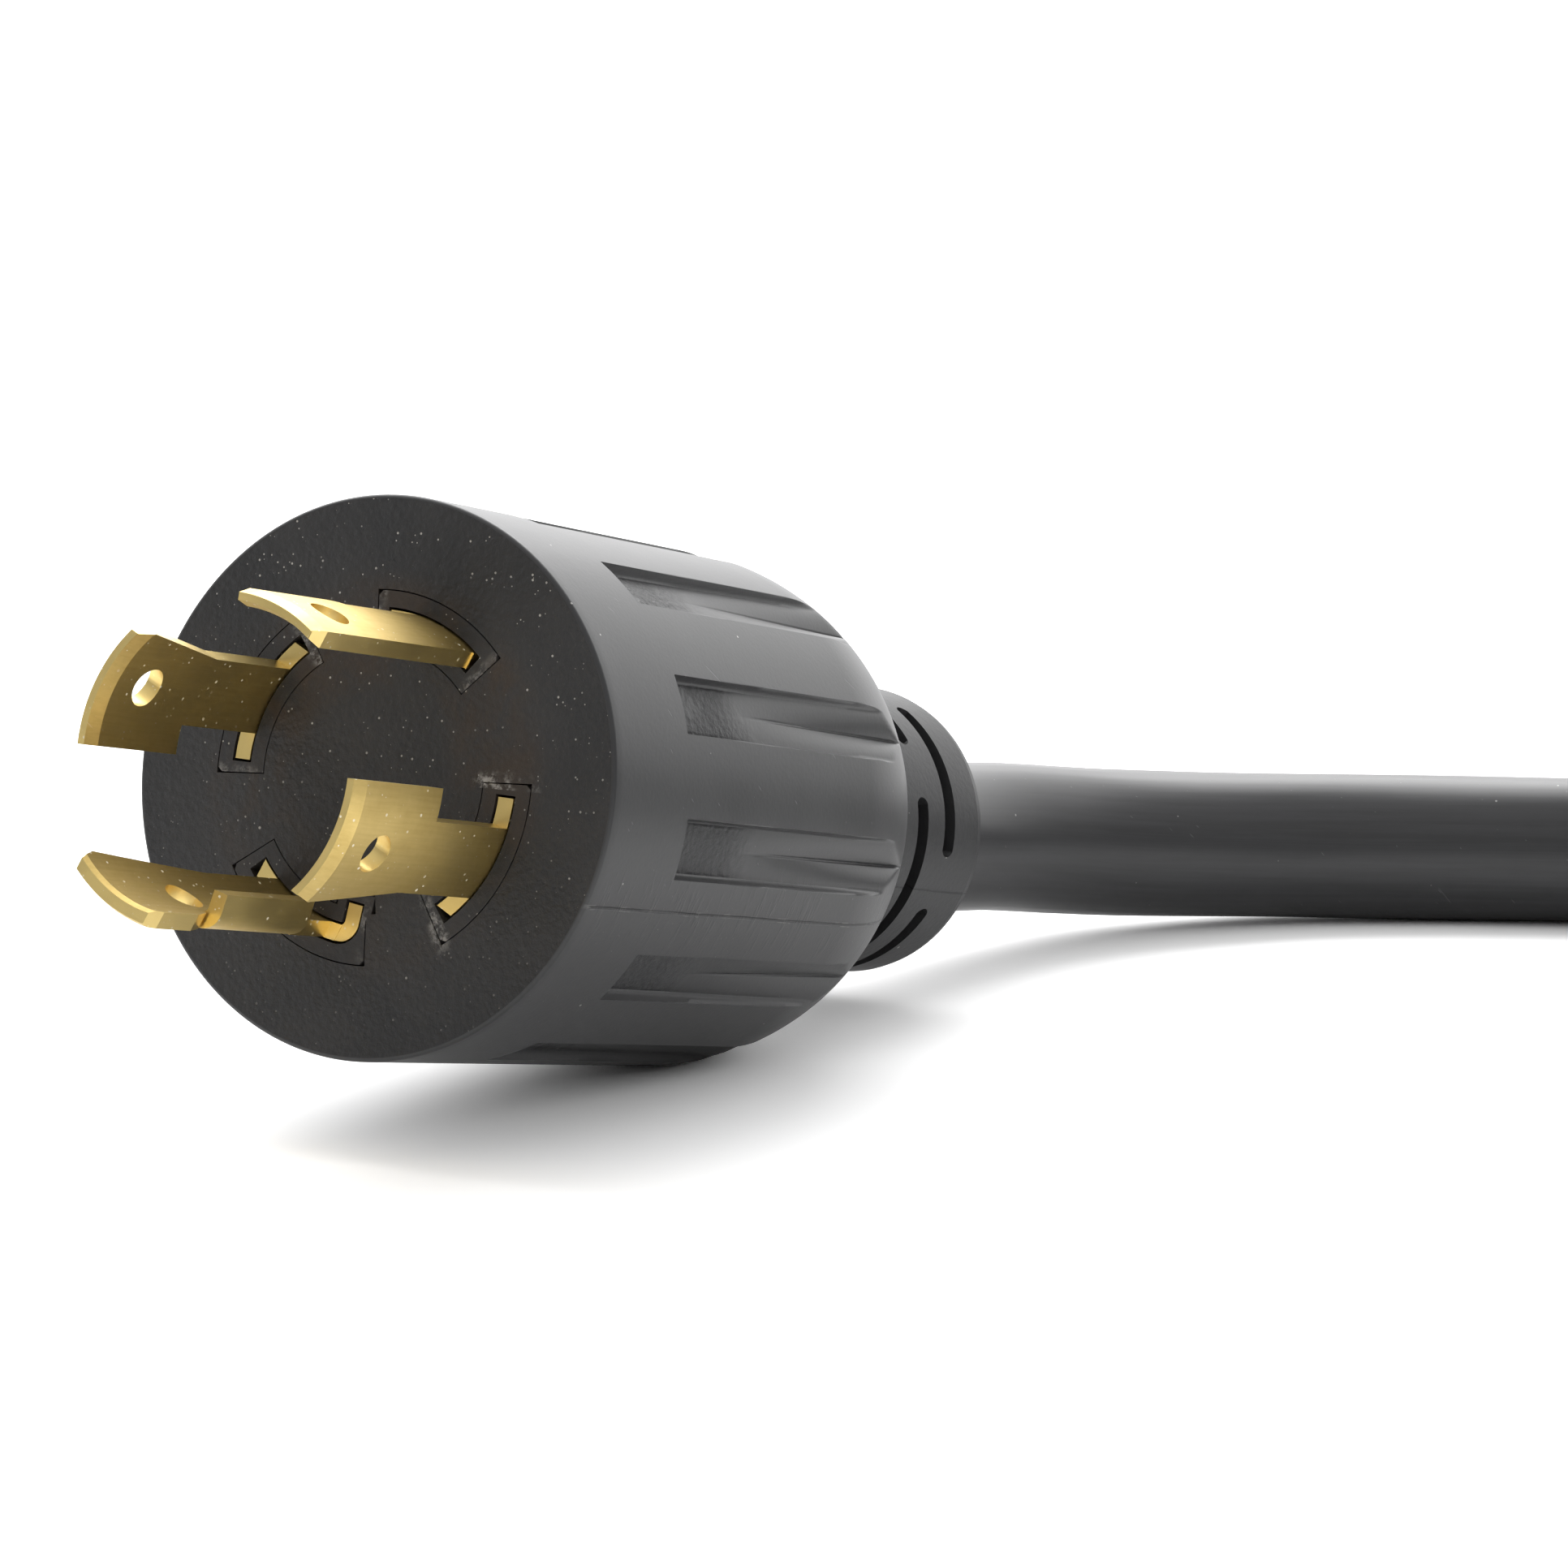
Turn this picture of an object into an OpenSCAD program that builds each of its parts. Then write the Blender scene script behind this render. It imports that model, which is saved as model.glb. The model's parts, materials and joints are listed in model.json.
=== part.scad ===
// Shore power cord: a moulded four-blade locking plug, its cable in a strapped coil, and the
// matching female connector. Millimetres, +Z up. The plug lies along X with its blades towards -X,
// nose up, resting on its rounded shoulder; the cable leaves it towards +X.

/* [Mouldings] */
// Diameter of the plug and the connector at the mating face
body_d = 55; // [52:0.5:60]
// Diameter of the grip where the shoulder begins
grip_d = 53.8; // [51:0.2:58]
// Depth of the plug's hard insulator behind the face
plug_depth = 17; // [14:0.5:24]
// Depth of the connector's hard insulator behind the face
connector_depth = 21; // [20:0.5:26]
// Length of the grip behind the hard insulator
grip_len = 33.65; // [30:0.05:40]
// Length over which the shoulder rounds, to where it would close
shoulder_len = 24; // [16:0.5:30]
// How far the shoulder would come in over that length
shoulder_drop = 17.6; // [10:0.2:20]
// Angle at which the shoulder stops at the relief
shoulder_turn = 60; // [40:1:66]
// Radius of the rim round the face
rim_r = 0.8; // [0.4:0.1:2]
// Thickness of the plug's face
face_t = 3; // [2:0.1:4]

/* [Grip recesses] */
// Number of recesses round the grip
recess_count = 12; // [8:1:16]
// Width of each recess
recess_w = 6; // [4:0.1:8]
// Depth of each recess below the grip
recess_deep = 1.4; // [0.8:0.1:2.2]
// Distance from the face to the recesses
recess_start = 14.25; // [8:0.05:20]
// Distance from the face to where the crease in each recess begins
crease_start = 27.65; // [20:0.05:40]
// Depth of the crease where the recess runs out
crease_deep = 0.9; // [0.4:0.1:1.2]

/* [Blades] */
// Radius of the inside of the curved blades
blade_ri = 14.6; // [14:0.1:15.5]
// Thickness of the blades
blade_t = 1.7; // [1.4:0.05:2]
// How far the hot and the neutral blades stand out of the face
blade_len = 26.4; // [22:0.1:30]
// How far the ground blade stands out, so that it connects first
ground_len = 30.6; // [26:0.1:33]
// Length of the neck between the face and the locking hook
neck_len = 12.2; // [9:0.1:14]
// Length of the bevel at the tip of each blade
bevel_len = 1.6; // [0.8:0.1:3]
// Height of the hole in each blade above the face
hole_up = 19.9; // [17:0.1:22]
// Diameter of the hole in each blade
hole_d = 4; // [3:0.1:4.5]
// How far the ground blade's edge is bent inward
flange_h = 2.3; // [1.5:0.1:3]
// Height above the face at which the bent edge begins
flange_low = 6; // [3:0.1:8]
// Height above the face at which the bent edge ends
flange_high = 20.5; // [16:0.1:22]
// Depth of the blade shoulders below the face
shoulder_seat = 0.1; // [0.1:0.05:0.6]

/* [Cable] */
// Outer diameter of the cable
cable_d = 17; // [16:0.1:18]
// Outer diameter of one insulated conductor
wire_d = 4.6; // [4:0.1:4.7]
// Diameter of the stranded copper in a conductor
strand_d = 3.5; // [2.8:0.1:3.7]
// Gap between neighbouring conductors
wire_gap = 0.35; // [0.3:0.05:0.6]

/* [Strain relief] */
// Outer diameter of the strain relief
relief_d = 31.4; // [28:0.2:34]
// Length of the strain relief behind the shoulder's end
relief_len = 26.2; // [22:0.2:36]
// Radius of the rounded rear edge of the relief
relief_round = 2.6; // [1:0.1:4]
// Distance between the rows of slots
slot_pitch = 6; // [5:0.1:8]
// Width of a slot along the cable
slot_w = 2.3; // [1.5:0.1:3]
// Angle that a slot runs round the relief
slot_sweep = 58; // [40:1:64]
// Thickness of the relief left under the slots
slot_floor_t = 2.1; // [1:0.1:3]
// Distance from the body to the middle of the first row of slots
slot_start = 5.2; // [4:0.1:8]

/* [Coil] */
// Radius of the innermost turn at the middle of the cable
coil_inner = 69.5; // [68:0.5:90]
// Gap between neighbouring turns
turn_gap = 1; // [1:0.1:3]
// Gap between the two layers
layer_gap = 0.6; // [0.6:0.1:2]
// Gap between the coil and the connector's relief
tail_gap = 0.7; // [0.5:0.1:3]
// Straight cable added before the connector
tail_more = 0; // [0:1:45]
// Width of a hook-and-loop strap
strap_w = 20; // [16:1:25]
// Thickness of a strap
strap_t = 1.2; // [0.8:0.1:1.3]

/* [Hidden] */
$fn = 96;

// clearance between mouldings and what they hold, and the wider one round the metal
fit = 0.05;
slot_fit = 0.25;

// angles of the blades, seen from the front with 0 to the right and turning anticlockwise
NEUTRAL = 64;
HOT_X = 153.25;
GROUND = 244;
HOT_Y = 332.75;

// angles from the middle of a blade to its sides: [clockwise, anticlockwise]
NECK = [14.2, 14.2];
NECK_NEUTRAL = [12.8, 14.5];
NECK_GROUND = [16, 13];
HEAD = [22.4, 25.5];
HEAD_NEUTRAL = [12.8, 22.5];
HEAD_GROUND = [22, 17];
BASE = [24, 24.5];
BASE_NEUTRAL = [13.4, 25];
BASE_GROUND = [24.7, 17.5];
blank_half = 30;
// extra angle of a slot where the side of the blade isn't radial
skew = [1.2, 0];
// how far a blade's face comes in at the tip, as a part of its thickness, and its side in mm
bevel_in = 0.28;
tip_in = 0.5;
// length of the ground blade's own smaller bevel
ground_bevel = 0.6;
// angle from the middle of the ground blade at which its edge bends inward, the bend's inner
// radius, how much thinner the metal is there on each face, and the notch at both its ends
bend_at = 11;
bend_r = 0.5;
thinned = 0.05;
notch = 0.3;

// half angle of the tail, and how much thinner it is than the sheet on each face
tail_half = 9;
coined = 0.15;

blade_ro = blade_ri + blade_t;
blade_rm = blade_ri + blade_t / 2;

// curved bosses of the carrier, which show in the face round the blades
boss_ri = blade_ri - 1.8;
boss_ro = blade_ro + 1.85;
BOSS = [29.8, 29.3];
BOSS_NEUTRAL = [20.5, 30];
BOSS_GROUND = [31, 29.5];
boss_round = 0.45;
boss_fit = 0.12;
leg_wall = 1.2;

// inner shapes of the mouldings: what is left of the body outside the hard insulators, of the
// crimp barrels outside the copper, and of the inner mould outside the barrels and the cable
carrier_wall = 3.5;
core_wall = 1.5;
barrel_wall = 1.45;
crimp_wall = 1.75;
inner_end_wall = 1.5;
anchor_h = 3.3;
recess_floor_r = grip_d / 2 - recess_deep;
carrier_r = recess_floor_r - carrier_wall;
core_r = recess_floor_r - core_wall;
barrel_r = strand_d / 2 + barrel_wall;
inner_r = blade_rm + barrel_r + crimp_wall;
inner_end_r = cable_d / 2 + inner_end_wall;
anchor_r = relief_d / 2 + anchor_h;
slot_floor = cable_d / 2 + slot_floor_t;
wire_ring = (wire_d + wire_gap) / sqrt(2);
strand_fit = 0.06;
bend_swell = 0.12;

// distances behind the hard insulator of depth b at which things begin and end
function barrel_front(b) = b + 4;
function barrel_back(b) = b + 12;
function strand_front(b) = b + 7;
function wire_front(b) = b + 13.5;
function wire_bend(b) = b + 19;
function wire_joined(b) = b + 31.5;
function cable_front(b) = b + 35;
function inner_back(b) = b + 39;
function anchor_back(b) = b + 43;
function shoulder_at(b) = b + grip_len;
function body_back(b) = shoulder_at(b) + shoulder_len * sin(shoulder_turn);
function relief_back(b) = body_back(b) + relief_len;

// ---------- how the plug lies ----------
// nose up by this angle, it rests on the lands of its shoulder
pitch = 11.15;
// the point of the shoulder whose slope equals the pitch touches the table
rest_turn = atan(tan(pitch) * shoulder_len / shoulder_drop);
rest_x = shoulder_at(plug_depth) + shoulder_len * sin(rest_turn);
rest_r = grip_d / 2 - shoulder_drop * (1 - cos(rest_turn));
plug_z = rest_x * sin(pitch) + rest_r * cos(pitch);
// the origin is below the middle of the plug's box
tip_r = blade_ro - bevel_in * blade_t * ground_bevel;
tip_half = asin((blade_rm * sin(HEAD_GROUND[1]) - tip_in) / tip_r);
tip_low = -tip_r * sin(GROUND + tip_half);
tip_reach = ground_len * cos(pitch) + tip_low * sin(pitch);
relief_reach = (relief_back(plug_depth) - relief_round) * cos(pitch)
  + (relief_d / 2 - relief_round) * sin(pitch) + relief_round;
plug_x = (tip_reach - relief_reach) / 2;

// from the moulding frame, whose +Z points out of the face, to where the plug lies
module place_plug() {
  translate([plug_x, 0, plug_z])
    rotate([0, pitch, 0])
      rotate([90, 0, -90])
        children();
}

// ---------- the cable's route ----------
// point of the plug's axis at distance d behind the face, and where the cable leaves the relief
function plug_axis(d) = [plug_x + d * cos(pitch), 0, plug_z - d * sin(pitch)];
run_x = plug_axis(relief_back(plug_depth))[0];

// layers below and above, their heights and the turns in each
coil_lift = strap_t + 0.2;
low_z = coil_lift + cable_d / 2;
high_z = low_z + cable_d + layer_gap;
turns = 2.25;
turn_pitch = cable_d + turn_gap;
coil_outer = coil_inner + turns * turn_pitch;

// the run meets the coil here, and the coil lies behind that point, whatever its size
entry_angle = 23;
entry_dir = [sin(entry_angle), -cos(entry_angle), 0];
coil_start = [run_x + 129.986, -169.0196, 0];
coil_centre = [coil_start[0] - coil_outer * cos(entry_angle), coil_start[1] - coil_outer * sin(entry_angle)];
coil_entry = coil_start - cable_d * entry_dir + [0, 0, low_z];

// straight length that brings the connector's relief clear of the coil, to a tenth, and the
// connector lying on the table behind it
tail_reach = (cable_d + relief_d) / 2 + tail_gap;
tail_turn = acos(coil_outer / (coil_outer + tail_reach));
tail_r = coil_outer + tail_reach - turn_pitch * tail_turn / 360;
tail_len = round(10 * sqrt(tail_r * tail_r - coil_outer * coil_outer)) / 10 + tail_more;
coil_exit = coil_start + tail_len * entry_dir + [0, 0, max(body_d, grip_d) / 2];

// radius and height after u turns: in along the lower layer, up in the half turn where it
// reverses, and out again along the upper layer
function coil_r(u) =
  u < turns ? coil_outer - turn_pitch * u :
  u < turns + 0.5 ? coil_inner - turn_pitch * (u - turns) * (1 - 2 * (u - turns)) :
  coil_inner + turn_pitch * (u - turns - 0.5);
function smooth(k) = k * k * (3 - 2 * k);
function coil_z(u) = low_z + (high_z - low_z) * smooth(min(1, max(0, (u - turns) / 0.5)));
function coil_point(u) = [
  coil_centre[0] + coil_r(u) * cos(entry_angle - 360 * u),
  coil_centre[1] + coil_r(u) * sin(entry_angle - 360 * u),
  coil_z(u)];
rings_per_turn = 24;
last_u = 2 * turns + 0.5;
coil_points = concat(
  [coil_entry],
  [for (k = [0:last_u * rings_per_turn]) coil_point(k / rings_per_turn)],
  [coil_exit - (tail_len - cable_d) * entry_dir, coil_exit]);

// the run from the relief down to the table and round to the coil
run_points = concat(
  [plug_axis(relief_back(plug_depth)), plug_axis(relief_back(plug_depth) + 14)],
  [for (p = [[27.23, -1.5, 12.5], [40.73, -5.5, 9.5], [52.73, -12.5, 8.5], [63.23, -21.5, 8.5],
    [71.23, -33, 8.5], [77.73, -45.5, 8.5], [83.23, -58.5, 8.5], [88.73, -71.5, 8.5],
    [94.23, -84, 8.5], [99.73, -97, 8.5], [105.23, -110, 8.8], [110.73, -123, 9.3]])
    p + [run_x, 0, 0]],
  [coil_entry - cable_d * entry_dir, coil_entry]);

// length along a route, and the least clearance between stretches of the coil more than
// three diameters apart along it
function route_len(p) = sum([for (k = [1:len(p) - 1]) norm(p[k] - p[k - 1])]);
function sum(v, k = 0) = k == len(v) ? 0 : v[k] + sum(v, k + 1);
apart = ceil(3 * cable_d * rings_per_turn / (2 * PI * coil_inner));
least_gap = min([for (i = [0:len(coil_points) - 2]) for (j = [i + apart:1:len(coil_points) - 1])
  norm(coil_points[i] - coil_points[j])]) - cable_d;
echo(cord_length_mm = route_len(run_points) + route_len(coil_points), coil_least_gap_mm = least_gap);  // cord_coil

// ---------- general shapes ----------
// part of a ring between two angles, from z1 up to z2
module sector(ri, ro, a1, a2, z1, z2) {
  rotate([0, 0, a1])
    rotate_extrude(angle = a2 - a1)
      translate([ri, z1])
        square([ro - ri, z2 - z1]);
}

// a ring sector round the middle angle c, with the sides given as [clockwise, anticlockwise]
module blade_sector(c, sides, z1, z2, grow = 0) {
  turn = grow / blade_rm * 180 / PI;
  sector(blade_ri - grow, blade_ro + grow, c - sides[0] - turn, c + sides[1] + turn, z1, z2);
}

// a round bar between two points
module bar(p, q, r) {
  v = q - p;
  translate(p)
    rotate([0, acos(v[2] / norm(v)), atan2(v[1], v[0])])
      cylinder(r = r, h = norm(v), $fn = 32);
}

// a tube of circular section along a route, in flat facets, with its ends square to it
module tube(p, r, sides) {
  n = len(p);
  function ahead(k) = p[min(k + 1, n - 1)] - p[max(k - 1, 0)];
  function unit(v) = v / norm(v);
  function side(k) = unit(cross(unit(ahead(k)), [0, 0, 1]));
  function over(k) = cross(side(k), unit(ahead(k)));
  points = [for (k = [0:n - 1]) for (s = [0:sides - 1])
    p[k] + r * (cos(360 * s / sides - 90) * side(k) + sin(360 * s / sides - 90) * over(k))];
  walls = [for (k = [0:n - 2]) for (s = [0:sides - 1]) for (half = [0, 1])
    let (a = k * sides + s, b = k * sides + (s + 1) % sides)
    half == 0 ? [a, b, b + sides] : [a, b + sides, a + sides]];
  front = [for (s = [1:sides - 2]) [0, s + 1, s]];
  back = [for (s = [1:sides - 2]) [(n - 1) * sides, (n - 1) * sides + s, (n - 1) * sides + s + 1]];
  polyhedron(points = points, faces = concat(walls, front, back));
}

// ---------- mouldings ----------
// outside of a body whose hard insulator is b deep: rim, slightly tapered grip, rounded shoulder
module body_outside(b) {
  rim = [for (a = [0:30:90]) [body_d / 2 - rim_r + rim_r * sin(a), -rim_r + rim_r * cos(a)]];
  shoulder = [for (a = [0:6:shoulder_turn])
    [grip_d / 2 - shoulder_drop * (1 - cos(a)), -shoulder_at(b) - shoulder_len * sin(a)]];
  rotate_extrude()
    polygon(concat([[0, 0]], rim, shoulder, [[0, -body_back(b)]]));
}

// the space for the inner mould, the relief's anchor and the relief, behind a front pocket
module body_inside(b, pocket_r, front) {
  rotate_extrude()
    polygon([[0, front], [pocket_r + fit, front], [pocket_r + fit, -b - fit], [inner_r + fit, -b - fit],
      [inner_r + fit, -wire_bend(b)], [inner_end_r + fit, -inner_back(b)],
      [anchor_r + fit, -inner_back(b)], [anchor_r + fit, -anchor_back(b) - fit],
      [relief_d / 2 + fit, -anchor_back(b) - fit], [relief_d / 2 + fit, -body_back(b) - 1],
      [0, -body_back(b) - 1]]);
}

// the recesses of the grip, each with a flat floor and a crease that deepens towards the rear
module grip_recesses(b) {
  half = recess_w / 2 - 0.1;
  run = body_back(b) - recess_start;
  run_out = shoulder_at(b) + shoulder_len * sin(acos(1 - recess_deep / shoulder_drop));
  lean = atan(crease_deep / (run_out + 3 - crease_start));
  for (k = [0:recess_count - 1])
    rotate([0, 0, 21.5 + 360 * k / recess_count]) {
      translate([recess_floor_r, -recess_w / 2, -recess_start - run])
        cube([body_d, recess_w, run]);
      translate([recess_floor_r, 0, -crease_start])
        rotate([0, lean, 0])
          translate([0, 0, -run])
            linear_extrude(run)
              polygon([[0, 0], [crease_deep, half], [2 * recess_deep, half],
                [2 * recess_deep, -half], [crease_deep, -half]]);
    }
}

// the bosses between two heights, the ground's with a leg round its bent foot, or their windows;
// their outer corners are cut to short slopes
module boss(c, sides, z1, z2, grow) {
  turn = grow / blade_rm * 180 / PI;
  a = sides + [turn, turn];
  cut = (boss_round + 0.25) * sqrt(2);
  difference() {
    sector(boss_ri - grow, boss_ro + grow, c - a[0], c + a[1], z1, z2);
    for (way = [-1, 1])
      rotate([0, 0, way < 0 ? c - a[0] : c + a[1]])
        translate([boss_ro + grow, way * 0.25, z1 - 1])
          rotate([0, 0, 45])
            cube([cut, cut, 2 * (z2 - z1 + 2)], center = true);
  }
}

module bosses(z1, z2, grow = 0) {
  boss(NEUTRAL, BOSS_NEUTRAL, z1, z2, grow);
  boss(HOT_X, BOSS, z1, z2, grow);
  boss(HOT_Y, BOSS, z1, z2, grow);
  boss(GROUND, BOSS_GROUND, z1, z2, grow);
  rotate([0, 0, GROUND + BASE_GROUND[1]])
    translate([blade_ri - flange_h - leg_wall - grow, bend_r - leg_wall - grow, z1])
      cube([flange_h + leg_wall - 1 + grow, blade_t + 2 * leg_wall + 2 * grow, z2 - z1]);
}

module plug_body() {
  color("#46474b")
    place_plug()
      difference() {
        body_outside(plug_depth);
        body_inside(plug_depth, carrier_r, -face_t);
        grip_recesses(plug_depth);
        bosses(-face_t - 1, 1, boss_fit);
      }
}

module connector_body() {
  color("#46474b")
    place_connector()
      difference() {
        body_outside(connector_depth);
        body_inside(connector_depth, core_r, 1);
        grip_recesses(connector_depth);
      }
}

// the ground blade's edge between two heights, bent inward from the angle a, or room for it
module bent_edge(a, z1, z2, grow = 0) {
  in = bend_r + thinned - grow;
  out = bend_r + blade_t - thinned + grow;
  leg = flange_h - bend_r + grow;
  rotate([0, 0, a])
    translate([blade_ri - bend_r, 0, z1])
      linear_extrude(z2 - z1)
        polygon(concat([[in, -0.4]], [for (k = [0:3]) in * [cos(30 * k), sin(30 * k)]],
          [[-leg, in], [-leg, out]], [for (k = [12:-1:0]) out * [cos(7.5 * k), sin(7.5 * k)]],
          [[out, -0.4]]));
}

module plug_carrier() {
  color("#343437")
    place_plug()
      difference() {
        union() {
          translate([0, 0, -plug_depth])
            cylinder(r = carrier_r, h = plug_depth - face_t - fit);
          bosses(-face_t - 1, 0);
        }
        blade_sector(NEUTRAL, BASE_NEUTRAL + skew, -plug_depth - 1, 1, slot_fit);
        blade_sector(HOT_X, BASE + skew, -plug_depth - 1, 1, slot_fit);
        blade_sector(HOT_Y, BASE + skew, -plug_depth - 1, 1, slot_fit);
        blade_sector(GROUND, BASE_GROUND + skew, -plug_depth - 1, 1, slot_fit);
        bent_edge(GROUND + BASE_GROUND[1], -plug_depth - 1, 1, slot_fit);
      }
}

// wire through a moulding from the crimp at angle c to the cable, all of it grown for a channel
module wire_path(b, c, grow = 0) {
  out = [cos(c), sin(c), 0];
  bend = blade_rm * out - [0, 0, wire_bend(b)];
  meet = wire_ring * out - [0, 0, wire_joined(b)];
  r = wire_d / 2 + grow;
  bar(blade_rm * out - [0, 0, wire_front(b)], bend, r);
  bar(bend, meet, r);
  bar(meet, wire_ring * out - [0, 0, relief_back(b)], r);
  for (p = [bend, meet])
    translate(p) sphere(r = r + bend_swell, $fn = 32);
}

// an insulated conductor with its stripped end
module wire(b, c) {
  wire_path(b, c);
  bar(blade_rm * [cos(c), sin(c), 0] - [0, 0, strand_front(b)],
    blade_rm * [cos(c), sin(c), 0] - [0, 0, wire_front(b) + 1], strand_d / 2);
}

// room for the tail and the crimp barrel behind the hard insulator
module crimp_room(b, c) {
  rotate([0, 0, c])
    translate([blade_rm, 0, -wire_front(b) - fit])
      cylinder(r = barrel_r + fit, h = wire_front(b) - b + 1, $fn = 32);
}

// the soft inner mould that fills the body behind the hard insulator
module inner_mould(b) {
  difference() {
    rotate_extrude()
      polygon([[0, -b - fit], [inner_r, -b - fit], [inner_r, -wire_bend(b)],
        [inner_end_r, -inner_back(b) + fit], [0, -inner_back(b) + fit]]);
    for (c = [NEUTRAL, HOT_X, GROUND, HOT_Y]) {
      crimp_room(b, c);
      wire_path(b, c, fit);
    }
    translate([0, 0, -inner_back(b) - 1])
      cylinder(d = cable_d + 2 * fit, h = inner_back(b) - cable_front(b) + 1 + fit);
  }
}

module plug_inner() {
  color("#5a5a5e") place_plug() inner_mould(plug_depth);
}

module connector_inner() {
  color("#5a5a5e") place_connector() inner_mould(connector_depth);
}

// end of the cable inside the relief, with a bore for each conductor
module cable_end(b) {
  difference() {
    translate([0, 0, -relief_back(b)])
      cylinder(d = cable_d, h = relief_back(b) - cable_front(b));
    for (c = [NEUTRAL, HOT_X, GROUND, HOT_Y])
      translate(wire_ring * [cos(c), sin(c), 0] - [0, 0, relief_back(b) + 1])
        cylinder(d = wire_d + fit, h = relief_back(b), $fn = 32);
  }
}

module plug_cable_end() {
  color("#2b2b2e") place_plug() cable_end(plug_depth);
}

module connector_cable_end() {
  color("#2b2b2e") place_connector() cable_end(connector_depth);
}

// one slot of the relief, its middle at angle c and distance d behind the face, with its ends
// rounded to a little more than half its width
module relief_slot(c, d) {
  deep = relief_d / 2 - slot_floor + 1;
  ends = slot_sweep / 2;
  intersection() {
    sector(slot_floor, slot_floor + deep, c - ends - 12, c + ends + 12, -d - slot_w / 2, -d + slot_w / 2);
    union() {
      sector(slot_floor - 1, slot_floor + deep + 1, c - ends, c + ends, -d - slot_w, -d + slot_w);
      for (a = [c - ends, c + ends])
        rotate([0, 0, a])
          translate([slot_floor - 1, 0, -d])
            rotate([0, 90, 0])
              rotate([0, 0, 37])
                cylinder(d = 1.15 * slot_w, h = deep + 2, $fn = 24);
    }
  }
}

// slotted relief with an anchor flange inside the body and a rounded rear edge
module relief(b) {
  back = relief_back(b);
  edge = [for (a = [0:22.5:90])
    [relief_d / 2 - relief_round + relief_round * cos(a), -back + relief_round - relief_round * sin(a)]];
  difference() {
    rotate_extrude()
      polygon(concat(
        [[cable_d / 2 + fit, -inner_back(b) - fit], [anchor_r, -inner_back(b) - fit],
         [anchor_r, -anchor_back(b)], [relief_d / 2, -anchor_back(b)]],
        edge, [[cable_d / 2 + fit, -back]]));
    for (row = [0:2])
      for (k = [0:3])
        relief_slot(26 + 90 * k + (row == 1 ? 45 : 0), body_back(b) + slot_start + row * slot_pitch);
  }
}

module plug_relief() {
  color("#202022") place_plug() relief(plug_depth);
}

module connector_relief() {
  color("#202022") place_connector() relief(connector_depth);
}

// ---------- blades ----------
// crimp barrel behind an insulator b deep, and the narrow coined tail that joins it to the sheet
module crimp(b, c) {
  difference() {
    union() {
      sector(blade_ri + coined, blade_ro - coined, c - tail_half, c + tail_half, -barrel_front(b) - 1, -b + 1);
      rotate([0, 0, c])
        translate([blade_rm, 0, -barrel_back(b)])
          cylinder(r = barrel_r, h = barrel_back(b) - barrel_front(b), $fn = 32);
    }
    rotate([0, 0, c])
      translate([blade_rm, 0, -barrel_back(b) - 1])
        cylinder(d = strand_d + 2 * strand_fit, h = barrel_back(b) - strand_front(b) + 1 + strand_fit,
          $fn = 32);
  }
}

// curved blank that a blade is cut from, with its tip bevelled on both faces
module blade_blank(c, reach, bevel) {
  drawn = bevel_in * blade_t * min(1, bevel);
  rotate([0, 0, c - blank_half])
    rotate_extrude(angle = 2 * blank_half)
      polygon([[blade_ri, -plug_depth], [blade_ro, -plug_depth], [blade_ro, reach - bevel],
        [blade_ro - drawn, reach], [blade_ri + drawn, reach], [blade_ri, reach - bevel]]);
}

// what is cut away on the hook's side of a blade between two heights, k mm clear of the sheet
module hook_side(c, angle, z1, z2, k) {
  sector(blade_ri - k, blade_ro + k, c + angle, c + blank_half + 4, z1, z2);
}

// what is cut away square to the sheet beyond a side, given as [angle, height] from the foot
// up to where the corner of the tip begins; way is -1 for the clockwise side and 1 for the other
module side_cut(c, way, side) {
  line = [for (p = side) [way * blade_rm * sin(p[0]), p[1]]];
  limit = way * (blade_ro * sin(blank_half) + 2);
  rotate([0, 0, c])
    translate([blade_ri - 4, 0, 0])
      rotate([90, 0, 90])
        linear_extrude(blade_t + 6)
          polygon(concat([[line[0][0], -plug_depth - 1]], line,
            [[line[len(line) - 1][0] - way * tip_in, side[len(side) - 1][1] + bevel_len],
             [line[len(line) - 1][0] - way * tip_in, ground_len + 2],
             [limit, ground_len + 2], [limit, -plug_depth - 1]]));
}

// the clockwise side, which slopes out from the neck to the tip unless both are alike
module plain_side(c, base, neck, head, reach) {
  side_cut(c, -1, concat([[base, -shoulder_seat], [neck, -shoulder_seat]],
    neck == head ? [] : [[neck, neck_len]], [[head, reach - bevel_len - 0.2]]));
}

// crimp and hole, the hole turned by some degrees from the middle
module blade_end(c, turn) {
  difference() {
    children();
    rotate([0, 0, c + turn])
      translate([blade_ri - 1, 0, hole_up])
        rotate([0, 90, 0])
          cylinder(d = hole_d, h = blade_t + 2, $fn = 32);
  }
  crimp(plug_depth, c);
}

module blade(c, neck, head, base) {
  blade_end(c, 1)
    difference() {
      blade_blank(c, blade_len, bevel_len);
      plain_side(c, base[0], neck[0], head[0], blade_len);
      hook_side(c, base[1], -plug_depth - 1, -shoulder_seat + 1, 3);
      hook_side(c, neck[1], -shoulder_seat, neck_len, 1);
      hook_side(c, head[1], neck_len - 1, blade_len + 1, 2);
    }
}

module blade_neutral() {
  color("#c9a24a") place_plug() blade(NEUTRAL, NECK_NEUTRAL, HEAD_NEUTRAL, BASE_NEUTRAL);
}

module blade_hot_x() {
  color("#c9a24a") place_plug() blade(HOT_X, NECK, HEAD, BASE);
}

module blade_hot_y() {
  color("#c9a24a") place_plug() blade(HOT_Y, NECK, HEAD, BASE);
}

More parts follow.
